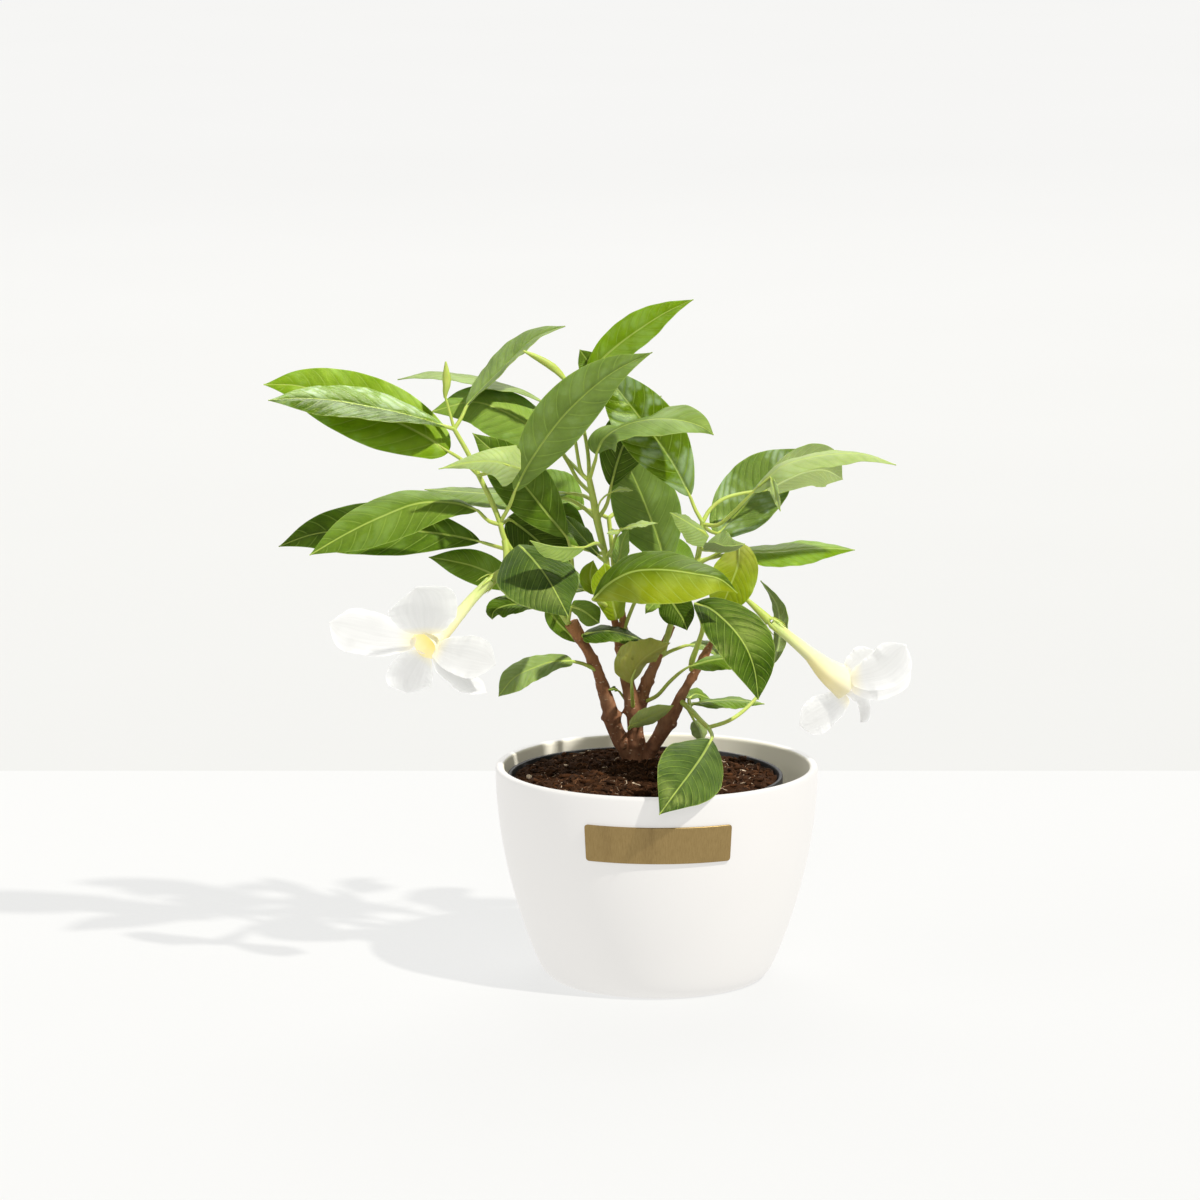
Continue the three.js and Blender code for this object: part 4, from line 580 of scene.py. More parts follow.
def leaf_top(name, roughness, puff_mm, painted_sheen_share):
    leaf = Finish(name, Subsurface_Weight=0.3, Subsurface_Scale=0.0012, Specular_IOR_Level=0.5,
                  Subsurface_Radius=(0.6, 1.0, 0.08), Specular_Tint=(0.85, 1, 0.25, 1))
    tone, yellow, age, grey = leaf.look()
    rib, side, net, swell = vein_marks(leaf)
    _, share = leaf.place("place")
    number, across = leaf.place("veins")
    where = leaf.where()
    patch = leaf.noise(where, 70, 3)
    fleck = leaf.noise(where, 900, 2)
    crease = leaf.noise(leaf.vector(number * 2.2, across * 0.22), 1.0, 4, 0.6)
    shade = tone + (patch - 0.5) * 0.55 + (crease - 0.5) * 0.35 + (fleck - 0.5) * 0.1 + swell * 0.08 - 0.04
    green = leaf.mix(shade, (0.009, 0.036, 0.0), (0.195, 0.36, 0.003))
    silver = leaf.mix(shade, (0.07, 0.115, 0.04), (0.42, 0.49, 0.22))
    green = leaf.mix(grey, green, silver)
    green = leaf.mix(yellow, green, leaf.mix(patch, (0.26, 0.3, 0.002), (0.42, 0.44, 0.01)))
    green = leaf.mix(side * 0.42, green, (0.28, 0.4, 0.07))
    green = leaf.mix(net * 0.06, green, (0.2, 0.3, 0.02))
    green = leaf.mix(rib * 0.65, green, (0.38, 0.48, 0.1))
    spots = leaf.cells(where, 260).step(0.12, 0.3, 1, 0) * leaf.noise(where, 60).step(0.42, 0.6)
    aged = leaf.mix(spots * 0.8, leaf.mix(patch, (0.27, 0.25, 0.05), (0.46, 0.4, 0.13)), (0.07, 0.03, 0.012))
    green = leaf.mix(age, green, aged)
    rim = (share - 0.5).abs().step(0.478, 0.5)
    green = leaf.mix(rim * 0.35, green, (0.42, 0.5, 0.12))
    # Painted sheen: whitish patches in the base colour over the swells between the veins and along the
    # creases, stronger where the tone is higher, which stand in for reflections of the bright room
    painted_sheen_mask = patch.step(0.48, 0.6) * (swell * 0.5 + crease * 0.7) * (1 - side) * tone * painted_sheen_share
    green = leaf.mix(painted_sheen_mask, green, (0.55, 0.68, 0.5))
    height = swell * 0.5 + crease * 0.6 + (1 - rib) * 0.4 - net * 0.1 + fleck * 0.06
    rough = roughness + patch * 0.16 + side * 0.1 + age * 0.3 + grey * 0.14
    return leaf.feed(Base_Color=green, Roughness=rough, Normal=leaf.bump(height, 0.6, puff_mm))


def leaf_under():
    leaf = Finish("leaf_under", Subsurface_Weight=0.3, Subsurface_Scale=0.0012, Specular_IOR_Level=0.25,
                  Subsurface_Radius=(0.6, 1.0, 0.08), Specular_Tint=(0.85, 1, 0.4, 1))
    tone, yellow, age, grey = leaf.look()
    rib, side, net, swell = vein_marks(leaf)
    where = leaf.where()
    patch = leaf.noise(where, 80, 3)
    shade = tone * 0.7 + (patch - 0.5) * 0.4 + 0.15
    green = leaf.mix(shade, (0.05, 0.09, 0.012), (0.26, 0.34, 0.07))
    green = leaf.mix(grey * 0.7, green, (0.3, 0.36, 0.17))
    green = leaf.mix(yellow * 0.7, green, (0.5, 0.46, 0.08))
    green = leaf.mix(age * 0.8, green, (0.36, 0.3, 0.13))
    green = leaf.mix(side * 0.35 + rib * 0.6, green, (0.48, 0.58, 0.25))
    green = leaf.mix(net * 0.12, green, (0.45, 0.55, 0.25))
    height = side * 0.6 + rib * 0.8 + net * 0.25 - swell * 0.3
    return leaf.feed(Base_Color=green, Roughness=0.5 + patch * 0.15, Normal=leaf.bump(height, 0.5, 0.3))


def stem_green():
    stem = Finish("green_stem", Subsurface_Weight=0.15, Subsurface_Scale=0.001)
    where = stem.where()
    around, length = stem.place("veins")
    streak = stem.noise(stem.vector(around * 2.5, length * 0.09), 2.2, 3)
    patch = stem.noise(where, 120, 3)
    green = stem.mix(streak, (0.27, 0.39, 0.03), (0.6, 0.68, 0.15))
    green = stem.mix(patch.step(0.5, 0.75) * 0.2, green, (0.3, 0.24, 0.06))
    hairs = stem.noise(where, 1500, 2)
    return stem.feed(Base_Color=green, Roughness=0.42 + streak * 0.2,
                     Normal=stem.bump(streak + hairs * 0.3, 0.3, 0.2))


def petal_white_painted_glow():
    # The petals glow with painted white light, which lifts their shaded sides almost to the brightness of
    # their lit ones
    petal = Finish("petal_white_painted_glow", Subsurface_Weight=0.9, Subsurface_Scale=0.003, Specular_IOR_Level=0.2,
                   Subsurface_Radius=(1, 1, 1), Emission_Color=(1, 0.995, 0.97, 1), Emission_Strength=0.44)
    along, across = petal.place("place")
    where = petal.where()
    ray = petal.noise(petal.vector(along * 1.2, (across - 0.5) * 14), 1.0, 3)
    soft = petal.noise(where, 60, 3)
    white = petal.mix(ray, (0.24, 0.24, 0.23), (0.36, 0.36, 0.35))
    white = petal.mix(along.step(0.0, 0.24, 1, 0) * 0.75, white, (0.4, 0.34, 0.1))
    white = petal.mix(soft.step(0.5, 0.75) * 0.4, white, (0.2, 0.2, 0.185))
    return petal.feed(Base_Color=white, Roughness=0.55 + soft * 0.1, Normal=petal.bump(ray, 0.35, 0.5))


def throat_cream_painted_glow():
    throat = Finish("throat_cream_painted_glow", Subsurface_Weight=0.7, Subsurface_Scale=0.003,
                    Specular_IOR_Level=0.2, Subsurface_Radius=(1, 0.9, 0.6),
                    Emission_Strength=0.3)
    share, inside, *_ = throat.look()
    where = throat.where()
    ray = throat.noise(where, 300, 3)
    outer = throat.mix(share.step(0.0, 0.5), (0.5, 0.62, 0.17), (0.72, 0.72, 0.4))
    outer = throat.mix(share.step(0.5, 0.95), outer, (0.8, 0.73, 0.48))
    inner = throat.mix(share.step(0.6, 1.0), (0.75, 0.62, 0.14), (0.85, 0.8, 0.45))
    cream = throat.mix(inside, outer, inner)
    # Painted glow: warm and bright inside the tube, against the shade of its cavity, and dim outside
    glow = throat.mix(inside, (0.3, 0.29, 0.18), (0.85, 0.68, 0.3))
    return throat.feed(Base_Color=throat.mix(ray * 0.12, cream, (0.75, 0.7, 0.3)), Emission_Color=glow,
                       Roughness=0.5 + ray * 0.1, Normal=throat.bump(ray, 0.3, 0.2))


def bark():
    wood = Finish("bark", Specular_IOR_Level=0.3)
    where = wood.where()
    grain = wood.noise(wood.stretched(where, (1, 1, 0.3)), 480, 5, 0.65)
    patch = wood.noise(where, 75, 4)
    pores = wood.cells(wood.stretched(where, (1, 1, 1.6)), 300).step(0.14, 0.26, 1, 0)
    pores = pores * wood.noise(where, 170, 2).step(0.42, 0.55)
    height_m = wood.parts(where)[2]
    high = height_m.step(0.13, 0.2)
    brown = wood.mix(grain, (0.09, 0.034, 0.015), (0.42, 0.19, 0.09))
    warm = wood.mix(grain, (0.24, 0.085, 0.024), (0.6, 0.28, 0.1))
    skin = wood.mix(high, brown, warm)
    skin = wood.mix(patch.step(0.48, 0.66) * 0.45, skin, (0.34, 0.19, 0.1))
    skin = wood.mix(patch.step(0.3, 0.42, 1, 0) * 0.5, skin, (0.05, 0.02, 0.01))
    skin = wood.mix(pores * 0.85, skin, (0.6, 0.4, 0.26))
    return wood.feed(Base_Color=skin, Roughness=0.62 + grain * 0.25,
                     Normal=wood.bump(grain + pores * 0.8 + patch, 0.8, 0.8))


def soil_mix():
    soil = Finish("potting_mix", Specular_IOR_Level=0.1)
    tone, pale, hue, _ = soil.look()
    where = soil.where()
    grit = soil.noise(where, 420, 5, 0.7)
    patch = soil.noise(where, 90, 3)
    dark = soil.mix(grit, (0.003, 0.0015, 0.0007), (0.045, 0.019, 0.007))
    dark = soil.mix(tone * hue * 0.42, dark, (0.2, 0.075, 0.025))
    dark = soil.mix(patch.step(0.5, 0.7) * 0.25, dark, (0.06, 0.03, 0.015))
    dark = soil.mix(pale * 0.85, dark, (0.7, 0.56, 0.4))
    return soil.feed(Base_Color=dark, Roughness=0.8 + grit * 0.2, Normal=soil.bump(grit, 0.9, 1.4))


def glaze():
    """A white glaze whose outside glows with painted light, which stands in for the fill of a bright white
    room and keeps its shaded side pale
    """
    china = Finish("white_glaze", Specular_IOR_Level=0.4, Emission_Strength=0.5)
    inside, *_ = china.look()
    where = china.where()
    cloud = china.noise(where, 14, 4)
    grain = china.noise(where, 900, 3)
    pits = china.cells(where, 160).step(0.0, 0.05, 1, 0) * china.noise(where, 40, 2).step(0.55, 0.6)
    white = china.mix(cloud, (0.31, 0.3, 0.285), (0.35, 0.34, 0.325))
    # The inside gets a paler, warmer base than the outside
    white = china.mix(inside, white, (0.8, 0.77, 0.66))
    white = china.mix(pits * 0.3, white, (0.36, 0.33, 0.28))
    # Painted glow: bright white on the outside, dim and warm inside
    glow = china.mix(inside, (1, 0.985, 0.96), (0.18, 0.165, 0.125))
    height = grain * 0.4 + cloud - pits
    return china.feed(Base_Color=white, Roughness=0.5 + cloud * 0.12, Emission_Color=glow,
                      Normal=china.bump(height, 0.12, 0.3))


def brushed_brass():
    brass = Finish("antique_brass", Metallic=0.85)
    where = brass.where()
    brushed = brass.noise(brass.stretched(where, (1, 1, 0.03)), 2600, 3, 0.7)
    broad = brass.noise(brass.stretched(where, (1, 1, 0.2)), 90, 4)
    tint = brass.mix(brushed, (0.2, 0.13, 0.045), (0.46, 0.33, 0.14))
    tint = brass.mix(broad.step(0.5, 0.8) * 0.6, tint, (0.16, 0.1, 0.04))
    return brass.feed(Base_Color=tint, Roughness=0.36 + brushed * 0.22, Normal=brass.bump(brushed, 0.2, 0.1))


def black_plastic():
    plastic = Finish("black_plastic")
    where = plastic.where()
    dust = plastic.noise(where, 300, 4, 0.6)
    tint = plastic.mix(dust.step(0.5, 0.8) * 0.4, (0.012, 0.012, 0.013), (0.09, 0.075, 0.06))
    return plastic.feed(Base_Color=tint, Roughness=0.35 + dust * 0.25, Normal=plastic.bump(dust, 0.1, 0.1))


def pale_floor():
    """A bright table top that glows a little, so that shadows stay light on it"""
    floor = Finish("pale_floor", Specular_IOR_Level=0.05, Emission_Strength=0.8)
    where = floor.where()
    cloud = floor.noise(where, 3, 2)
    back = floor.parts(where)[1]
    tint = floor.mix(cloud, (0.14, 0.14, 0.136), (0.15, 0.15, 0.147))
    far = floor.mix(back.step(0.7, 5.0), (0.79, 0.79, 0.77), (0.95, 0.95, 0.945))
    glow = floor.mix(back.step(0.486, 0.489), (0.875, 0.875, 0.865), far)
    return floor.feed(Base_Color=tint, Roughness=0.7 + cloud * 0.1, Emission_Color=glow)


# Every leaf top carries a faint painted sheen in its colour, the polished top a strong one
LEAF_TOP = leaf_top("leaf_top", roughness=0.38, puff_mm=0.3, painted_sheen_share=0.12)
LEAF_POLISHED_PAINTED_SHEEN = leaf_top("leaf_top_polished_painted_sheen", roughness=0.16, puff_mm=0.75, painted_sheen_share=1.0)
LEAF_UNDER = leaf_under()
STEM = stem_green()
PETAL = petal_white_painted_glow()
THROAT = throat_cream_painted_glow()
BARK = bark()
SOIL = soil_mix()
GLAZE = glaze()
BRASS = brushed_brass()
BLACK_PLASTIC = black_plastic()
FLOOR = pale_floor()


# Curves in space
def seen(point):
    """The place in space of a point that is given as it is seen from the front"""
    x, y, z = point
    reach = (y - EYE[1]) / -EYE[1]
    return np.array([EYE[0] + (x - EYE[0]) * reach, y, EYE[2] + (z - EYE[2]) * reach])


def unit(vectors):
    return vectors / np.maximum(np.linalg.norm(vectors, axis=-1, keepdims=True), 1e-9)


class Course:
    """A smooth curve through seen places, read by the share of its length"""

    def __init__(self, places):
        knots = [seen(place) for place in places]
        ends = [2 * knots[0] - knots[1], *knots, 2 * knots[-1] - knots[-2]]
        pieces = [knots[0][None]]
        for a, b, c, d in zip(ends, ends[1:], ends[2:], ends[3:]):
            before, here, after = (np.linalg.norm(q - p) ** 0.5 for p, q in ((a, b), (b, c), (c, d)))
            leave = ((b - a) / before - (c - a) / (before + here) + (c - b) / here) * here
            arrive = ((c - b) / here - (d - b) / (here + after) + (d - c) / after) * here
            t = np.linspace(0, 1, SPAN_STEPS + 1)[1:, None]
            pieces.append(b + leave * t + (3 * (c - b) - 2 * leave - arrive) * t**2
                          + (2 * (b - c) + leave + arrive) * t**3)
        self.points = np.concatenate(pieces)
        steps = np.linalg.norm(np.diff(self.points, axis=0), axis=1)
        travelled = np.concatenate([[0], np.cumsum(steps)])
        self.length = travelled[-1]
        self.shares = travelled / self.length

    def at(self, u):
        return np.stack([np.interp(u, self.shares, axis) for axis in self.points.T], axis=-1)

    def along(self, u):
        step = 0.01
        low = np.clip(np.asarray(u) - step, 0, 1)
        high = np.clip(np.asarray(u) + step, 0, 1)
        return unit(self.at(high) - self.at(low))


def between(values, u):
    """Reads evenly spread values at a share u of the way"""
    return np.interp(u, np.linspace(0, 1, len(values)), values)


def share_of_width(outline, u):
    """How wide a blade is at a share u of its length, as a share of its widest"""
    rise = np.sin(math.pi / 2 * np.minimum(u / outline["peak"], 1)) ** outline["rise"]
    fall = np.clip((u - outline["peak"]) / (1 - outline["peak"]), 0, 1)
    before = outline["base"] + (1 - outline["base"]) * rise
    after = np.maximum((1 - fall ** outline["tip"]) * (1 - 0.4 * fall**4), 0.02)
    round_base = np.sqrt(1 - (1 - np.minimum(u / BASE_ROUND, 1)) ** 2)
    return np.where(u < outline["peak"], before * round_base, after)


# Meshes
class Piece:
    """Gathers the faces of one visible piece, with their finishes, surface places and looks"""

    def __init__(self, name, finishes):
        self.name = name
        self.finishes = finishes
        self.points = []
        self.looks = []
        self.faces = []
        self.slots = []
        self.places = []
        self.veins = []
        self.count = 0

    def add(self, points, faces, slot=0, places=None, veins=None, look=PLAIN_LOOK):
        """Faces are rows of corner numbers. Places and veins are given for each face corner."""
        self.points.append(points)
        self.looks.append(np.broadcast_to(np.asarray(look, float), (len(points), 4)))
        self.faces += [[corner + self.count for corner in face] for face in faces]
        self.slots += slot if isinstance(slot, list) else [slot] * len(faces)
        corners = sum(len(face) for face in faces)
        self.places.append(np.zeros((corners, 2)) if places is None else places)
        self.veins.append(np.zeros((corners, 2)) if veins is None else veins)
        self.count += len(points)

    def build(self, nodes, sharp=50):
        mesh = bpy.data.meshes.new(self.name)
        mesh.from_pydata((np.concatenate(self.points) * MM).tolist(), [], self.faces)
        for finish in self.finishes:
            mesh.materials.append(finish)
        mesh.polygons.foreach_set("material_index", self.slots)
        for layer, values in (("place", self.places), ("veins", self.veins)):
            mesh.uv_layers.new(name=layer).data.foreach_set("uv", np.concatenate(values).ravel())
        look = mesh.attributes.new("look", "FLOAT_COLOR", "POINT")
        look.data.foreach_set("color", np.concatenate(self.looks).ravel())
        mesh.polygons.foreach_set("use_smooth", [True] * len(mesh.polygons))
        mesh.set_sharp_from_angle(angle=math.radians(sharp))
        return show(mesh, nodes)


def show(mesh, nodes):
    piece = bpy.data.objects.new(mesh.name, mesh)
    bpy.context.scene.collection.objects.link(piece)
    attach(piece, "root")
    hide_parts(*nodes)
    return piece


def grid_faces(rows, columns, start=0, closed=False, flip=False):
    """Quads over a grid of points that is stored row by row; closed joins the last column to the first"""
    faces = []
    for i in range(rows - 1):
        for j in range(columns if closed else columns - 1):
            after = (j + 1) % columns
            a, b = start + i * columns + j, start + i * columns + after
            c, d = b + columns, a + columns
            faces.append([a, d, c, b] if flip else [a, b, c, d])
    return faces


def closed_faces(rows, sides):
    """Quads between rings of points, and a fan at each end to the two end points that follow the rings"""
    faces = grid_faces(rows, sides, closed=True)
    first, last = rows * sides, rows * sides + 1
    for j in range(sides):
        after = (j + 1) % sides
        faces.append([first, after, j])
        faces.append([last, (rows - 1) * sides + j, (rows - 1) * sides + after])
    return faces


def ring_spokes(along, angles):
    """The spokes of each ring of a tube, one unit long, without a twist from ring to ring"""
    normal = unit(np.cross(along[0], [0.3, 1, 0.2]))
    for ahead in along:
        normal = unit(normal - ahead * np.dot(normal, ahead))
        other = np.cross(ahead, normal)
        yield normal * np.cos(angles)[:, None] + other * np.sin(angles)[:, None]


def add_tube(piece, course, radii, sides=10, rows=None, relief=None):
    """A round stem along a course. The relief gives the share by which it swells at (u, angle)."""
    rows = rows or max(6, int(course.length / TUBE_STEP))
    u = np.linspace(0, 1, rows)
    centres = course.at(u)
    angles = np.linspace(0, 2 * math.pi, sides, endpoint=False)
    rings = []
    for share, centre, spokes in zip(u, centres, ring_spokes(course.along(u), angles)):
        swell = 1 + (relief(share, angles) if relief else 0 * angles)
        rings.append(centre + spokes * (between(radii, share) * swell)[:, None])
    points = np.concatenate([*rings, centres[:1], centres[-1:]])
    faces = closed_faces(rows, sides)
    length_mm = np.concatenate([np.repeat(u, sides), [0, 1]]) * course.length
    turn = np.concatenate([np.tile(angles, rows), [0, 0]])
    corners = [corner for face in faces for corner in face]
    veins = np.column_stack([turn[corners], length_mm[corners]])
    places = np.column_stack([length_mm[corners] / course.length, turn[corners] / (2 * math.pi)])
    piece.add(points, faces, places=places, veins=veins)


# Leaves
def blade_grid(shape, rows, columns):
    """The middle surface of a blade, with each point's u, v, distance from the rib and vein number"""
    course = Course(shape["rib"])
    outline = OUTLINES[shape.get("form", "oval")]
    step = np.linspace(0, 1, rows)
    u = (0.55 * step + 0.45 * (1 - np.cos(math.pi * step)) / 2)[:, None]
    v = np.linspace(-1, 1, columns)[None, :]
    centre, along = course.at(u[:, 0])[:, None], course.along(u[:, 0])[:, None]
    side = unit(np.cross(along, FORWARD))
    front = unit(np.cross(along, side))
    turn = np.radians(between(shape["face"], u))[..., None]
    lift = np.radians(between(shape["fold"], u))[..., None]
    left = side * np.cos(turn) + front * np.sin(turn)
    upper = front * np.cos(turn) - side * np.sin(turn)
    reach = np.abs(v) * shape["half"] * share_of_width(outline, u)
    vein = VEIN_PAIRS * (u - (0.8 + 0.4 * v**2) * reach / course.length) + 0.3
    raised = shape.get("bow", -0.12) * reach * np.abs(v) + ripples_and_quilt(shape, u, v, vein)
    sweep = -outline["lobe"] * shape["half"] * v**2 * (1 - u) ** 5
    surface = (centre - left * (np.sign(v) * reach)[..., None] * np.cos(lift)
               + upper * (reach[..., None] * np.sin(lift) + raised[..., None]) + along * sweep[..., None])
    return surface, u + 0 * v, v + 0 * u, reach * np.sign(v), vein


def ripples_and_quilt(shape, u, v, vein):
    """How far the margin waves, and the skin swells between the veins"""
    calm = np.minimum(1, 4 * u * (1 - u))
    slow = np.sin(2 * math.pi * RIPPLES * u + v) * v**2
    quick = np.sin(2 * math.pi * 2.9 * RIPPLES * u + 2 * v + shape["half"]) * np.abs(v) ** 3
    ripple = shape.get("wave", 0.5) * calm * (slow + 0.4 * quick)
    quilt = shape.get("quilt", 0.02) * shape["half"] * np.abs(np.sin(math.pi * vein)) * calm * (1 - v**4)
    return ripple + quilt * np.minimum(1, 6 * np.abs(v))


def grid_normals(surface):
    lengthwise = np.gradient(surface, axis=0)
    crosswise = np.gradient(surface, axis=1)
    return unit(np.cross(crosswise, lengthwise))


def add_blade(piece, shape, rows, columns, slots, look=PLAIN_LOOK, turning=(0, 0, 0), keel=0.45):
    """A closed thin blade: an upper side, a lower side with its raised rib, and the margin between them"""
    surface, u, v, across, vein = blade_grid(shape, rows, columns)
    normal = grid_normals(surface)
    thick = (BLADE_THICK * (1 - 0.55 * v**2))[..., None]
    rib = (np.exp(-(across / 0.8) ** 2) * (1 - 0.8 * u))[..., None]
    top = surface + normal * (thick / 2 - 0.5 * keel * rib)
    low = surface - normal * (thick / 2 + keel * rib)
    count = rows * columns
    faces = grid_faces(rows, columns)
    lower = grid_faces(rows, columns, start=count, flip=True)
    margin = margin_faces(rows, columns)
    everything = faces + lower + margin
    corners = np.array(everything).ravel()
    flat_u, flat_v = np.tile(u.ravel(), 2)[corners], np.tile(v.ravel(), 2)[corners]
    flat_vein, flat_across = np.tile(vein.ravel(), 2)[corners], np.tile(across.ravel(), 2)[corners]
    middle_v = flat_v.reshape(-1, 4).mean(axis=1).repeat(4)
    veins = np.column_stack([flat_vein + 0.45 * (middle_v > 0), flat_across])
    slots = [slots[0]] * len(faces) + [slots[1]] * len(lower) + [slots[0]] * len(margin)
    points = np.concatenate([top.reshape(-1, 3), low.reshape(-1, 3)])
    places = np.column_stack([flat_u, flat_v / 2 + 0.5])
    looks = np.array(look) + np.zeros((2 * count, 4))
    to_margin = np.tile(ease(v, -0.25, 0.75).ravel(), 2)
    looks[:, 0] += turning[0] * to_margin
    looks[:, 1] += turning[1] * to_margin
    looks[:, 2] += turning[2] * np.tile(ease(u, 0.45, 0.0).ravel(), 2)
    piece.add(points, everything, slots, places, veins, looks)


def margin_faces(rows, columns):
    """Quads that join the edge of a grid of points to the edge of the same grid stored after it"""
    ring = list(range(columns)) + [i * columns + columns - 1 for i in range(1, rows)]
    ring += [(rows - 1) * columns + j for j in range(columns - 2, -1, -1)]
    ring += [i * columns for i in range(rows - 2, 0, -1)]
    count = rows * columns
    return [[b, a, a + count, b + count] for a, b in zip(ring, ring[1:] + ring[:1])]


def ease(values, start, end):
    share = np.clip((values - start) / (end - start), 0, 1)
    return share * share * (3 - 2 * share)


def stalk_course(shape):
    """The way of a stalk, which ends a little inside its leaf's rib"""
    root, after = (np.array(place, float) for place in shape["rib"][:2])
    reach = np.linalg.norm(after - root)
    sunk = root + (after - root) * STALK_SINK / reach
    deeper = root + (after - root) * min(0.9, 3 * STALK_SINK / reach)
    return Course([*shape["stalk"], root, sunk, deeper])


def add_leaf(leaves, stems, shape, skin):
    small = shape.get("small", False)
    rows, columns = (26, 11) if small else (78, 19)
    slots = (2 if skin in GLOSSY_SKINS else 0, 1)
    add_blade(leaves, shape, rows, columns, slots, SKINS[skin], TURNING.get(skin, (0, 0, 0)))
    radius = shape.get("stalk_radius", STALK_RADIUS)
    add_tube(stems, stalk_course(shape), [1.15 * radius, radius, 0.9 * radius, 0.35 * radius])


def dress_shoot(node, stems, leaves, calyx=None):
    """The blades on a stem make one piece, and its green stalks and stems another"""
    blades = Piece(node + "_blades", [LEAF_TOP, LEAF_UNDER, LEAF_POLISHED_PAINTED_SHEEN])
    green = Piece(node + "_stems", [STEM])
    for stem in stems:
        relief = bud_twist if min(stem["radii"]) < 0.5 else node_rings
        add_tube(green, Course(stem["path"]), stem["radii"], sides=14, relief=relief)
    for shape, skin in zip(leaves, LEAF_SKINS[node].split()):
        add_leaf(blades, green, shape, skin)
    if calyx:
        add_calyx(green, **calyx)
    blades.build([node])
    green.build([node])


def bud_twist(u, angles):
    return 0.07 * np.cos(3 * angles + 7 * u)


def node_rings(u, angles):
    return 0.03 * np.sin(2 * angles + 9 * u)


# Blooms
def add_calyx(piece, foot, towards, length):
    """Narrow sepals that lean out all round the foot of a bloom's tube"""
    base, ahead = seen(foot), seen(towards)
    axis = unit(ahead - base)
    side = unit(np.cross([0, 1, 0], axis))
    up = np.cross(axis, side)
    for number in range(SEPALS):
        angle = 2 * math.pi * number / SEPALS
        add_sepal(piece, base, axis, side * math.cos(angle) + up * math.sin(angle), length)


def add_sepal(piece, base, axis, out, length):
    across = np.cross(out, axis)
    steps = ((-2.4, 1.1), (-0.4, 3), (0.5 * length, 3.9), (length, 4.3))
    knots = np.array([base + axis * forward + out * outward for forward, outward in steps])
    rows, sides = 14, 10
    u = np.linspace(0, 1, rows)
    centre = np.stack([between(axis_knots, u) for axis_knots in knots.T], axis=-1)
    half = SEPAL_HALF * (1 - u**2.2) + 0.06
    angles = np.linspace(0, 2 * math.pi, sides, endpoint=False)
    rings = [c + h * (across * np.cos(angles)[:, None] + 0.42 * out * np.sin(angles)[:, None])
             for c, h in zip(centre, half)]
    piece.add(np.concatenate(rings), capped_faces(rows, sides))


def capped_faces(rows, sides):
    """Quads between rings of points, with the first and the last ring as flat ends"""
    last = (rows - 1) * sides
    ends = [list(range(sides - 1, -1, -1)), list(range(last, last + sides))]
    return grid_faces(rows, sides, closed=True) + ends


def add_throat(piece, path, radii):
    """The tube of a bloom, closed at its foot and open at its mouth, with a wall that has two sides"""
    course = Course(path)
    rows, sides = 40, 40
    u = np.linspace(0, 1, rows)
    angles = np.linspace(0, 2 * math.pi, sides, endpoint=False)
    outside, inside = [], []
    for share, centre, spokes in zip(u, course.at(u), ring_spokes(course.along(u), angles)):
        radius = between(radii, share) * (1 + 0.04 * np.cos(5 * angles) * share**2)
        outside.append(centre + spokes * radius[:, None])
        if share >= OPEN_FROM:
            inside.append(centre + spokes * (radius - 0.7 * min(1, 0.3 + 1.4 * (1 - share)))[:, None])
    rings = outside + inside[::-1]
    shares = list(u) + [share for share in u if share >= OPEN_FROM][::-1]
    depth = np.repeat(shares, sides)
    faces = capped_faces(len(rings), sides)
    inner = np.repeat([0] * rows + [1] * len(inside), sides)
    look = np.column_stack([depth, inner, 0 * depth, 0 * depth])
    piece.add(np.concatenate(rings), faces, slot=1, look=look)


def dress_bloom(node, tube, petals):
    bloom = Piece(node + "_corolla", [PETAL, THROAT])
    add_throat(bloom, **tube)
    for petal in petals:
        shape = dict(petal, form="petal", bow=0, wave=0.75, quilt=0)
        add_blade(bloom, shape, rows=40, columns=21, slots=(0, 0), keel=0)
    bloom.build([node])


# Wood
BRANCH_JOINTS = (0.22, 0.4, 0.58, 0.75, 0.9)
BARK_WRINKLE = 0.18
BARK_LUMP = 0.24


def knuckles(u, angles):
    """The swollen joints of a branch, each with two opposite leaf scars, on an uneven girth"""
    swell = 0.035 * np.sin(3 * angles + 11 * u) + 0.02 * np.sin(7 * angles - 30 * u)
    for place in BRANCH_JOINTS:
        swell += 0.11 * math.exp(-((u - place) / 0.035) ** 2)
        swell += 0.32 * math.exp(-((u - place) / 0.014) ** 2) * np.abs(np.cos(angles - 9 * place)) ** 12
    return swell


def dress_wood():
    """Branches with swollen joints, melted into one rough skin"""
    wood = Piece("woody_base_bark", [BARK])
    for branch in BRANCHES:
        course = Course(branch["path"])
        add_tube(wood, course, branch["radii"], sides=32, relief=knuckles, rows=int(course.length))
    bark = wood.build(["woody_base"])
    melt(bark, voxel=0.5)
    roughen(bark.data)
    bark.data.materials.append(BARK)


def melt(piece, voxel):
    """Turns bodies that cross into one closed skin"""
    remesh = piece.modifiers.new("skin", "REMESH")
    remesh.mode, remesh.voxel_size, remesh.use_smooth_shade = "VOXEL", voxel * MM, True
    calm = piece.modifiers.new("calm", "SMOOTH")
    calm.factor, calm.iterations = 0.5, 3
    graph = bpy.context.evaluated_depsgraph_get()
    mesh = bpy.data.meshes.new_from_object(piece.evaluated_get(graph))
    piece.modifiers.clear()
    mesh.materials.clear()
    piece.data = mesh


def roughen(mesh):
    """Long shallow wrinkles in the bark"""
    count = 3 * len(mesh.vertices)
    spots, normals = np.zeros(count), np.zeros(count)
    mesh.vertices.foreach_get("co", spots)
    mesh.vertices.foreach_get("normal", normals)
    depths = [BARK_WRINKLE * noise.noise(Vector((x / 1.3, y / 1.3, z / 3.5)))
              + BARK_LUMP * noise.noise(Vector((x, y, z)) / 4) for x, y, z in spots.reshape(-1, 3) / MM]
    mesh.vertices.foreach_set("co", spots + normals * np.repeat(depths, 3) * MM)
    mesh.update()


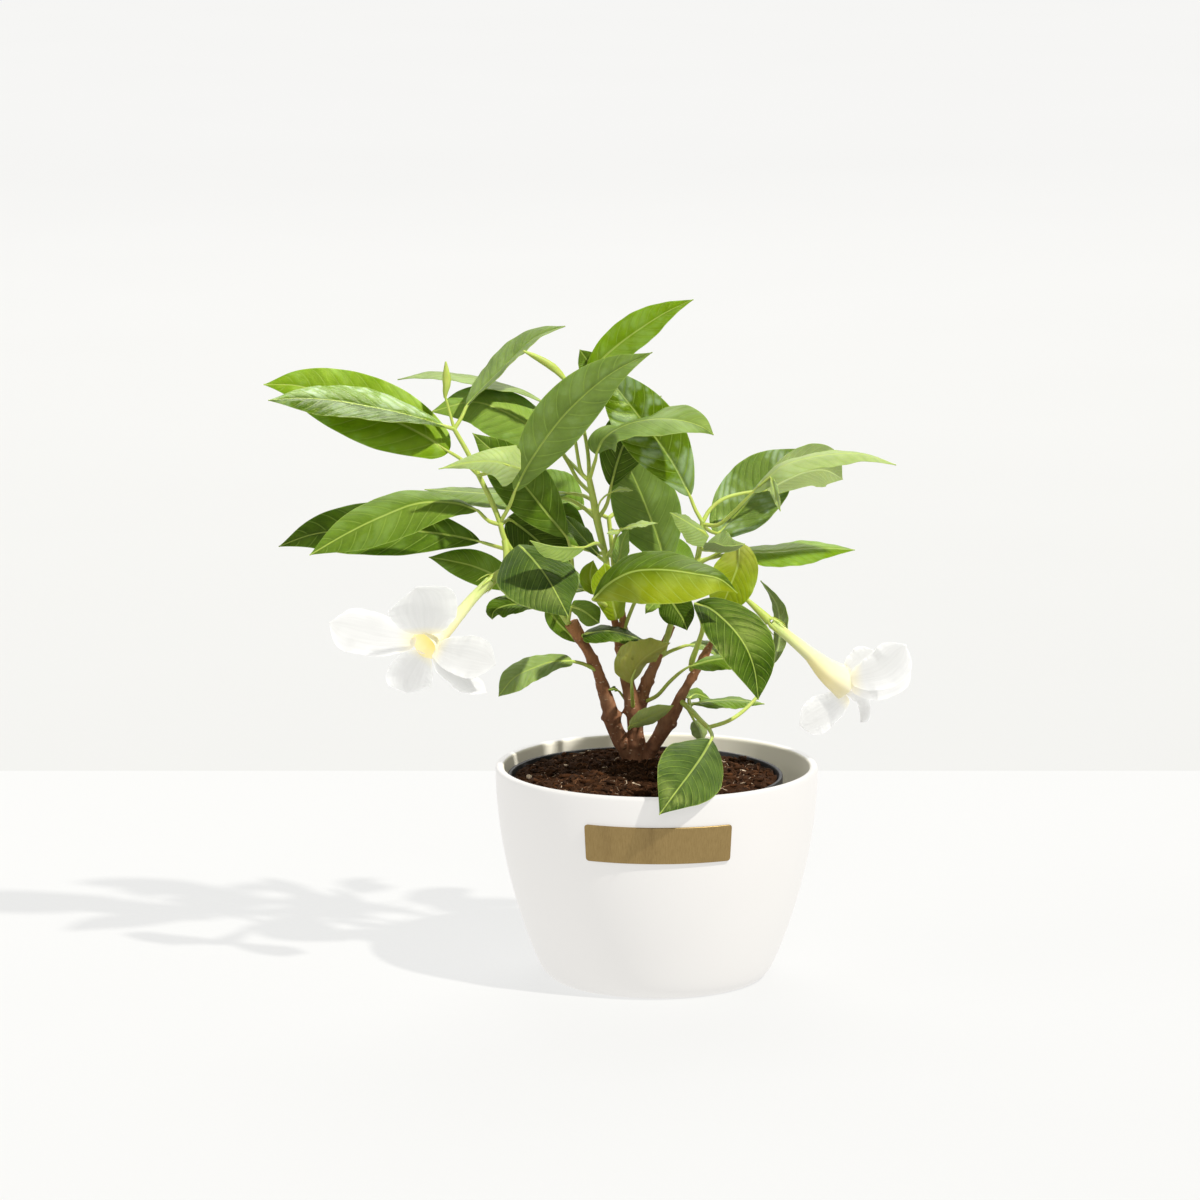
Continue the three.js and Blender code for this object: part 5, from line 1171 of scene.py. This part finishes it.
# Pots
def add_lathe(piece, profile, sides, offset_x=0, inner_from=None):
    """A closed profile of (radius, height), which starts and ends on the axis, turned round it.

    Points from inner_from on are the inside, which their look says.
    """
    radii, heights = np.array(profile[1:-1], float).T
    angles = np.linspace(0, 2 * math.pi, sides, endpoint=False)
    rings = np.stack([radii[:, None] * np.cos(angles) + offset_x, radii[:, None] * np.sin(angles),
                      heights[:, None] + 0 * angles], axis=-1)
    ends = [[offset_x, 0, profile[0][1]], [offset_x, 0, profile[-1][1]]]
    first = len(radii) * sides
    look = np.zeros((first + len(ends), 4))
    if inner_from:
        look[inner_from * sides:first, 0] = 1
        look[-1, 0] = 1
    piece.add(np.concatenate([rings.reshape(-1, 3), ends]), closed_faces(len(radii), sides), look=look)


def rounded(corners, radius, steps):
    """A profile with its inner corners rounded off"""
    points = [corners[0]]
    for before, corner, after in zip(corners, corners[1:], corners[2:]):
        corner = np.array(corner, float)
        inward, outward = np.array(before) - corner, np.array(after) - corner
        reach_in = min(radius, 0.45 * np.linalg.norm(inward))
        reach_out = min(radius, 0.45 * np.linalg.norm(outward))
        start = corner + unit(inward) * reach_in
        end = corner + unit(outward) * reach_out
        for t in np.linspace(0, 1, steps):
            points.append(tuple(start * (1 - t) ** 2 + corner * 2 * t * (1 - t) + end * t**2))
    return points + [corners[-1]]


def planter_radius(z):
    """A round heel, then a wall that swells out and stands up"""
    below = min(max(1 - z / PLANTER_HEIGHT, 0), 1)
    lean = PLANTER_RIM_RADIUS - PLANTER_FOOT_RADIUS - HEEL_ROUND
    return PLANTER_RIM_RADIUS - lean * below**WALL_CURVE - HEEL_ROUND * math.exp(-z / HEEL_HEIGHT)


def dress_planter():
    wall = Piece("planter_glaze", [GLAZE])
    heights = [0.6, 1.4, 2.4, 4, 6, 9, 13, 18, 24, 31, 38, 46, 54, 62, 70, 78, 86, 94, 101]
    outside = [(planter_radius(z), z) for z in heights]
    inside = [(planter_radius(z) - PLANTER_WALL, z) for z in heights[::-1] if z > PLANTER_FLOOR + 4]
    rim_out = (PLANTER_RIM_RADIUS, PLANTER_HEIGHT)
    rim_in = (PLANTER_RIM_RADIUS - PLANTER_WALL, PLANTER_HEIGHT)
    lip = rounded([outside[-1], rim_out, rim_in, inside[0]], 2.0, steps=7)[1:-1]
    foot = [(0, 0), (PLANTER_FOOT_RADIUS - 1, 0), (PLANTER_FOOT_RADIUS, 0.15)]
    floor = [(NURSERY_FOOT_RADIUS + 7, PLANTER_FLOOR), (0, PLANTER_FLOOR)]
    lip_inside = 5
    inner_from = len(foot + outside + lip) - lip_inside
    add_lathe(wall, foot + outside + lip + inside + floor, 200, inner_from=inner_from)
    wall.build(["planter"], sharp=60)


def nursery_inner(z):
    """The inner radius of the nursery pot at a height"""
    share = (z - PLANTER_FLOOR) / (NURSERY_RIM_Z - PLANTER_FLOOR)
    return NURSERY_FOOT_RADIUS - NURSERY_WALL + share * (NURSERY_RIM_RADIUS - NURSERY_FOOT_RADIUS - 0.6)


def dress_nursery_pot():
    pot = Piece("nursery_pot_wall", [BLACK_PLASTIC])
    base = PLANTER_FLOOR + 0.3
    band = NURSERY_RIM_Z - 8
    corners = [
        (0, base), (NURSERY_FOOT_RADIUS, base), (nursery_inner(band - 1) + NURSERY_WALL, band - 1),
        (NURSERY_RIM_RADIUS, band), (NURSERY_RIM_RADIUS, NURSERY_RIM_Z),
        (nursery_inner(NURSERY_RIM_Z), NURSERY_RIM_Z),
        (nursery_inner(base + NURSERY_WALL), base + NURSERY_WALL), (0, base + NURSERY_WALL),
    ]
    add_lathe(pot, rounded(corners, 0.6, steps=4), 160, offset_x=NURSERY_OFFSET_X)
    pot.build(["nursery_pot"], sharp=60)


def plate_loop():
    """The places round a rounded oblong: which corner they belong to, as shares, and their turn from it"""
    loop = []
    for corner_x, corner_z, start in ((1, 1, 0), (-1, 1, 90), (-1, -1, 180), (1, -1, 270)):
        for turn in range(0, 91, 15):
            angle = math.radians(start + turn)
            loop.append((corner_x, corner_z, math.cos(angle), math.sin(angle)))
        if start in (0, 180):
            for step in range(1, PLATE_STEPS):
                loop.append((corner_x * (1 - 2 * step / PLATE_STEPS), corner_z, 0, corner_z))
    return loop


def dress_plate():
    """A bare plate bent round the planter, with a soft bevel all round its face"""
    plate = Piece("name_plate_brass", [BRASS])
    middle = (PLATE_LOW_Z + PLATE_HIGH_Z) / 2
    tall = (PLATE_HIGH_Z - PLATE_LOW_Z) / 2
    radius = planter_radius(middle)
    wide = radius * math.asin(PLATE_HALF_WIDTH / radius)
    insets = [(0, 0), (0, 0.65), (0.08, 0.8), (0.25, PLATE_THICK)]
    loop = plate_loop()
    points = []
    for inset, out in insets:
        corner = PLATE_CORNER - inset
        for share_x, share_z, cos, sin in loop:
            arc = share_x * (wide - inset - corner) + corner * cos
            z = middle + share_z * (tall - inset - corner) + corner * sin
            points.append(plate_place(arc, z, out))
    count = len(loop)
    faces = grid_faces(len(insets), count, closed=True)
    front = count * (len(insets) - 1)
    for k in range(count // 2 - 1):
        upper, lower = k, count - 1 - k
        faces.append([front + upper, front + lower, front + lower - 1, front + upper + 1])
        faces.append([upper + 1, lower - 1, lower, upper])
    plate.add(np.array(points), faces)
    plate.build(["name_plate"], sharp=40)


def plate_place(arc, z, out):
    """A place on the plate: its way round the planter, its height and how far it stands out"""
    radius = planter_radius(z) + PLATE_SEAT + out
    angle = arc / planter_radius((PLATE_LOW_Z + PLATE_HIGH_Z) / 2)
    return [radius * math.sin(angle), -radius * math.cos(angle), z]


# Potting mix
CRUMBS = 3000
FIBRES = 900
FIBRE_STEPS = 6
FIBRE_SIDES = (0, 2.1, 4.2)


def soil_height(x, y):
    mound = MOUND_HEIGHT * math.exp(-((x - CROWN_X) ** 2 + (y - CROWN_Y) ** 2) / MOUND_REACH**2)
    crumbs = 0.7 * math.sin(0.41 * x + 1.3) * math.cos(0.37 * y) + 0.5 * math.sin(0.9 * x - 0.8 * y)
    return SOIL_Z + mound + crumbs - 1.2 * (math.hypot(x, y) / NURSERY_RIM_RADIUS) ** 6


def soil_point(radius, angle):
    x, y = radius * math.cos(angle), radius * math.sin(angle)
    rough = 1.3 * noise.fractal(Vector((x, y, 3)) / 5.5, 0.8, 2.1, 5)
    clod = 1.5 * max(0, noise.noise(Vector((x, y, 9)) / 3.2))
    return x + NURSERY_OFFSET_X, y, soil_height(x, y) + rough + clod


def dress_soil():
    draw = random.Random(7)
    soil = Piece("potting_mix_ground", [SOIL])
    outer = nursery_inner(SOIL_Z - 1.5) - SOIL_GAP
    rows, sides = 90, 260
    points = [soil_point(outer * (1 - row / rows), 2 * math.pi * j / sides)
              for row in range(rows) for j in range(sides)]
    low_z = SOIL_Z - SOIL_DEPTH
    foot = nursery_inner(low_z) - SOIL_GAP
    under = [(foot * math.cos(2 * math.pi * j / sides) + NURSERY_OFFSET_X,
              foot * math.sin(2 * math.pi * j / sides), low_z) for j in range(sides)]
    points = under + points + [(NURSERY_OFFSET_X, 0, low_z), soil_point(0, 0)]
    soil.add(np.array(points), closed_faces(rows + 1, sides), look=(0.35, 0, 0.5, 0))
    for _ in range(CRUMBS):
        add_crumb(soil, draw, outer)
    for _ in range(FIBRES):
        add_fibre(soil, draw, outer)
    soil.build(["potting_mix"], sharp=70)


def soil_spot(draw, outer, edge):
    """A random place on the ground, no nearer to the pot's wall than edge"""
    radius = (outer - edge) * math.sqrt(draw.random())
    angle = draw.uniform(0, 2 * math.pi)
    return np.array(soil_point(radius, angle)), angle


def add_crumb(soil, draw, outer):
    """A rough lump of bark or peat, half sunk"""
    size = 0.4 + 1.6 * draw.random() ** 4
    spot, _ = soil_spot(draw, outer, 2)
    stretch = np.array([draw.uniform(0.8, 2.8), draw.uniform(0.5, 0.9), draw.uniform(0.45, 0.9)])
    turn = draw.uniform(0, math.pi)
    spin = np.array([[math.cos(turn), -math.sin(turn), 0], [math.sin(turn), math.cos(turn), 0], [0, 0, 1]])
    rough = [1 + draw.uniform(-0.28, 0.28) for _ in CRUMB_POINTS]
    points = (CRUMB_POINTS * np.array(rough)[:, None] * stretch) @ spin.T * size + spot + [0, 0, 0.3 * size]
    pale = draw.random()
    white = 1.0 if pale > 0.98 else 0.0
    soil.add(points, CRUMB_FACES, look=(draw.uniform(0.2, 1.0), white, draw.random(), 0))


def add_fibre(soil, draw, outer):
    """A thin dry straw that lies on the ground"""
    spot, _ = soil_spot(draw, outer, 8)
    heading = draw.uniform(0, 2 * math.pi)
    length = draw.uniform(2.5, 8)
    bend = draw.uniform(-0.9, 0.9)
    pale = draw.random() > 0.85
    width = draw.uniform(0.1, 0.28)
    line = []
    for step in range(FIBRE_STEPS):
        share = step / (FIBRE_STEPS - 1) - 0.5
        x = spot[0] + length * share * math.cos(heading + bend * share)
        y = spot[1] + length * share * math.sin(heading + bend * share)
        ground = soil_point(min(math.hypot(x - NURSERY_OFFSET_X, y), outer - 1),
                            math.atan2(y, x - NURSERY_OFFSET_X))[2]
        line.append([x, y, max(ground + width, spot[2] - 0.5)])
    points = []
    for place in line:
        for angle in FIBRE_SIDES:
            away = np.array([-math.sin(heading) * math.cos(angle), math.cos(heading) * math.cos(angle),
                             math.sin(angle)])
            points.append(np.array(place) + away * width)
    faces = capped_faces(FIBRE_STEPS, len(FIBRE_SIDES))
    soil.add(np.array(points), faces, look=(1.0, 0.8 if pale else 0.05, draw.uniform(0.5, 1.6), 0))


def crumb_form():
    """The points and faces of a plain round lump"""
    ball = bmesh.new()
    bmesh.ops.create_icosphere(ball, subdivisions=1, radius=1)
    points = np.array([vertex.co for vertex in ball.verts])
    faces = [[vertex.index for vertex in face.verts] for face in ball.faces]
    ball.free()
    return points, faces


CRUMB_POINTS, CRUMB_FACES = crumb_form()


# Floor, light and camera
FLOOR_REACH_M = 8


def lay_floor():
    mesh = bpy.data.meshes.new("floor")
    corners = [(x * FLOOR_REACH_M, y * FLOOR_REACH_M, 0) for x, y in ((-1, -1), (1, -1), (1, 1), (-1, 1))]
    mesh.from_pydata(corners, [], [[0, 1, 2, 3]])
    mesh.materials.append(FLOOR)
    floor = bpy.data.objects.new("floor", mesh)
    bpy.context.scene.collection.objects.link(floor)


def hang_lights():
    """A key light from high on the right, and broad soft lights on the other sides"""
    key = bpy.data.lights.new("key", "SUN")
    key.energy, key.angle, key.color = 4.2, math.radians(2), (1, 0.975, 0.93)
    hang(key, (0, 0, 3), (-0.62, 0.56, -1))
    panels = dict(
        overhead=(4.0, 3.0, 22, (-0.4, 0.9, 2.4), (0.1, -0.35, -1)),
        backdrop=(4.5, 2.2, 26, (-0.6, 3.0, 1.9), (0.15, -1, -0.55)),
        skylight=(2.0, 1.4, 36, (0.17, 1.95, 2.6), (-0.05, -0.65, -0.77)),
        side=(1.6, 1.6, 20, (-2.6, -0.9, 1.5), (1, 0.35, -0.45)),
        front=(1.2, 0.8, 18, (0.1, -3.2, 1.7), (0, 1, -0.42)),
    )
    for name, (wide, tall, energy, place, towards) in panels.items():
        panel = bpy.data.lights.new(name, "AREA")
        panel.shape, panel.size, panel.size_y, panel.energy = "RECTANGLE", wide, tall, energy
        hang(panel, place, towards)
    world = bpy.data.worlds.new("surround")
    world.use_nodes = True
    surround = world.node_tree.nodes["Background"]
    surround.inputs["Color"].default_value = (0.97, 0.985, 1, 1)
    surround.inputs["Strength"].default_value = 0.1
    bpy.context.scene.world = world


def hang(light, place, towards):
    lamp = bpy.data.objects.new(light.name, light)
    lamp.location = place
    lamp.rotation_euler = Vector(towards).to_track_quat("-Z", "Y").to_euler()
    bpy.context.scene.collection.objects.link(lamp)


def place_camera():
    camera = bpy.data.cameras.new("camera")
    camera.lens, camera.sensor_width, camera.clip_end = LENS, SENSOR, 100
    holder = bpy.data.objects.new("camera", camera)
    holder.location = EYE * MM
    holder.rotation_euler = (math.pi / 2 - SIGHT_PITCH, 0, 0)
    bpy.context.scene.collection.objects.link(holder)
    bpy.context.scene.camera = holder


place_camera()
hang_lights()
lay_floor()
bpy.context.scene.view_settings.view_transform = "Standard"

dress_planter()
dress_nursery_pot()
dress_plate()
dress_soil()
dress_wood()

SHOOTS = dict(
    shoot_left=(LEFT_STEMS, LEFT_LEAVES),
    shoot_centre=(CENTRE_STEMS, CENTRE_LEAVES),
    shoot_right=(RIGHT_STEMS, RIGHT_LEAVES),
    shoot_back=(BACK_STEMS, BACK_LEAVES),
    shoot_low=(LOW_STEMS, LOW_LEAVES),
    leaf_front=(FRONT_STEMS, FRONT_LEAVES),
    leaf_drooping=(DROOPING_STEMS, DROOPING_LEAVES),
)

for name, (stems, leaves) in SHOOTS.items():
    dress_shoot(name, stems, leaves, CALYXES.get(name))
for name, leaf in WOOD_LEAVES.items():
    dress_shoot(name, [], [leaf])
for name, shape in BLOOMS.items():
    dress_bloom(name, **shape)
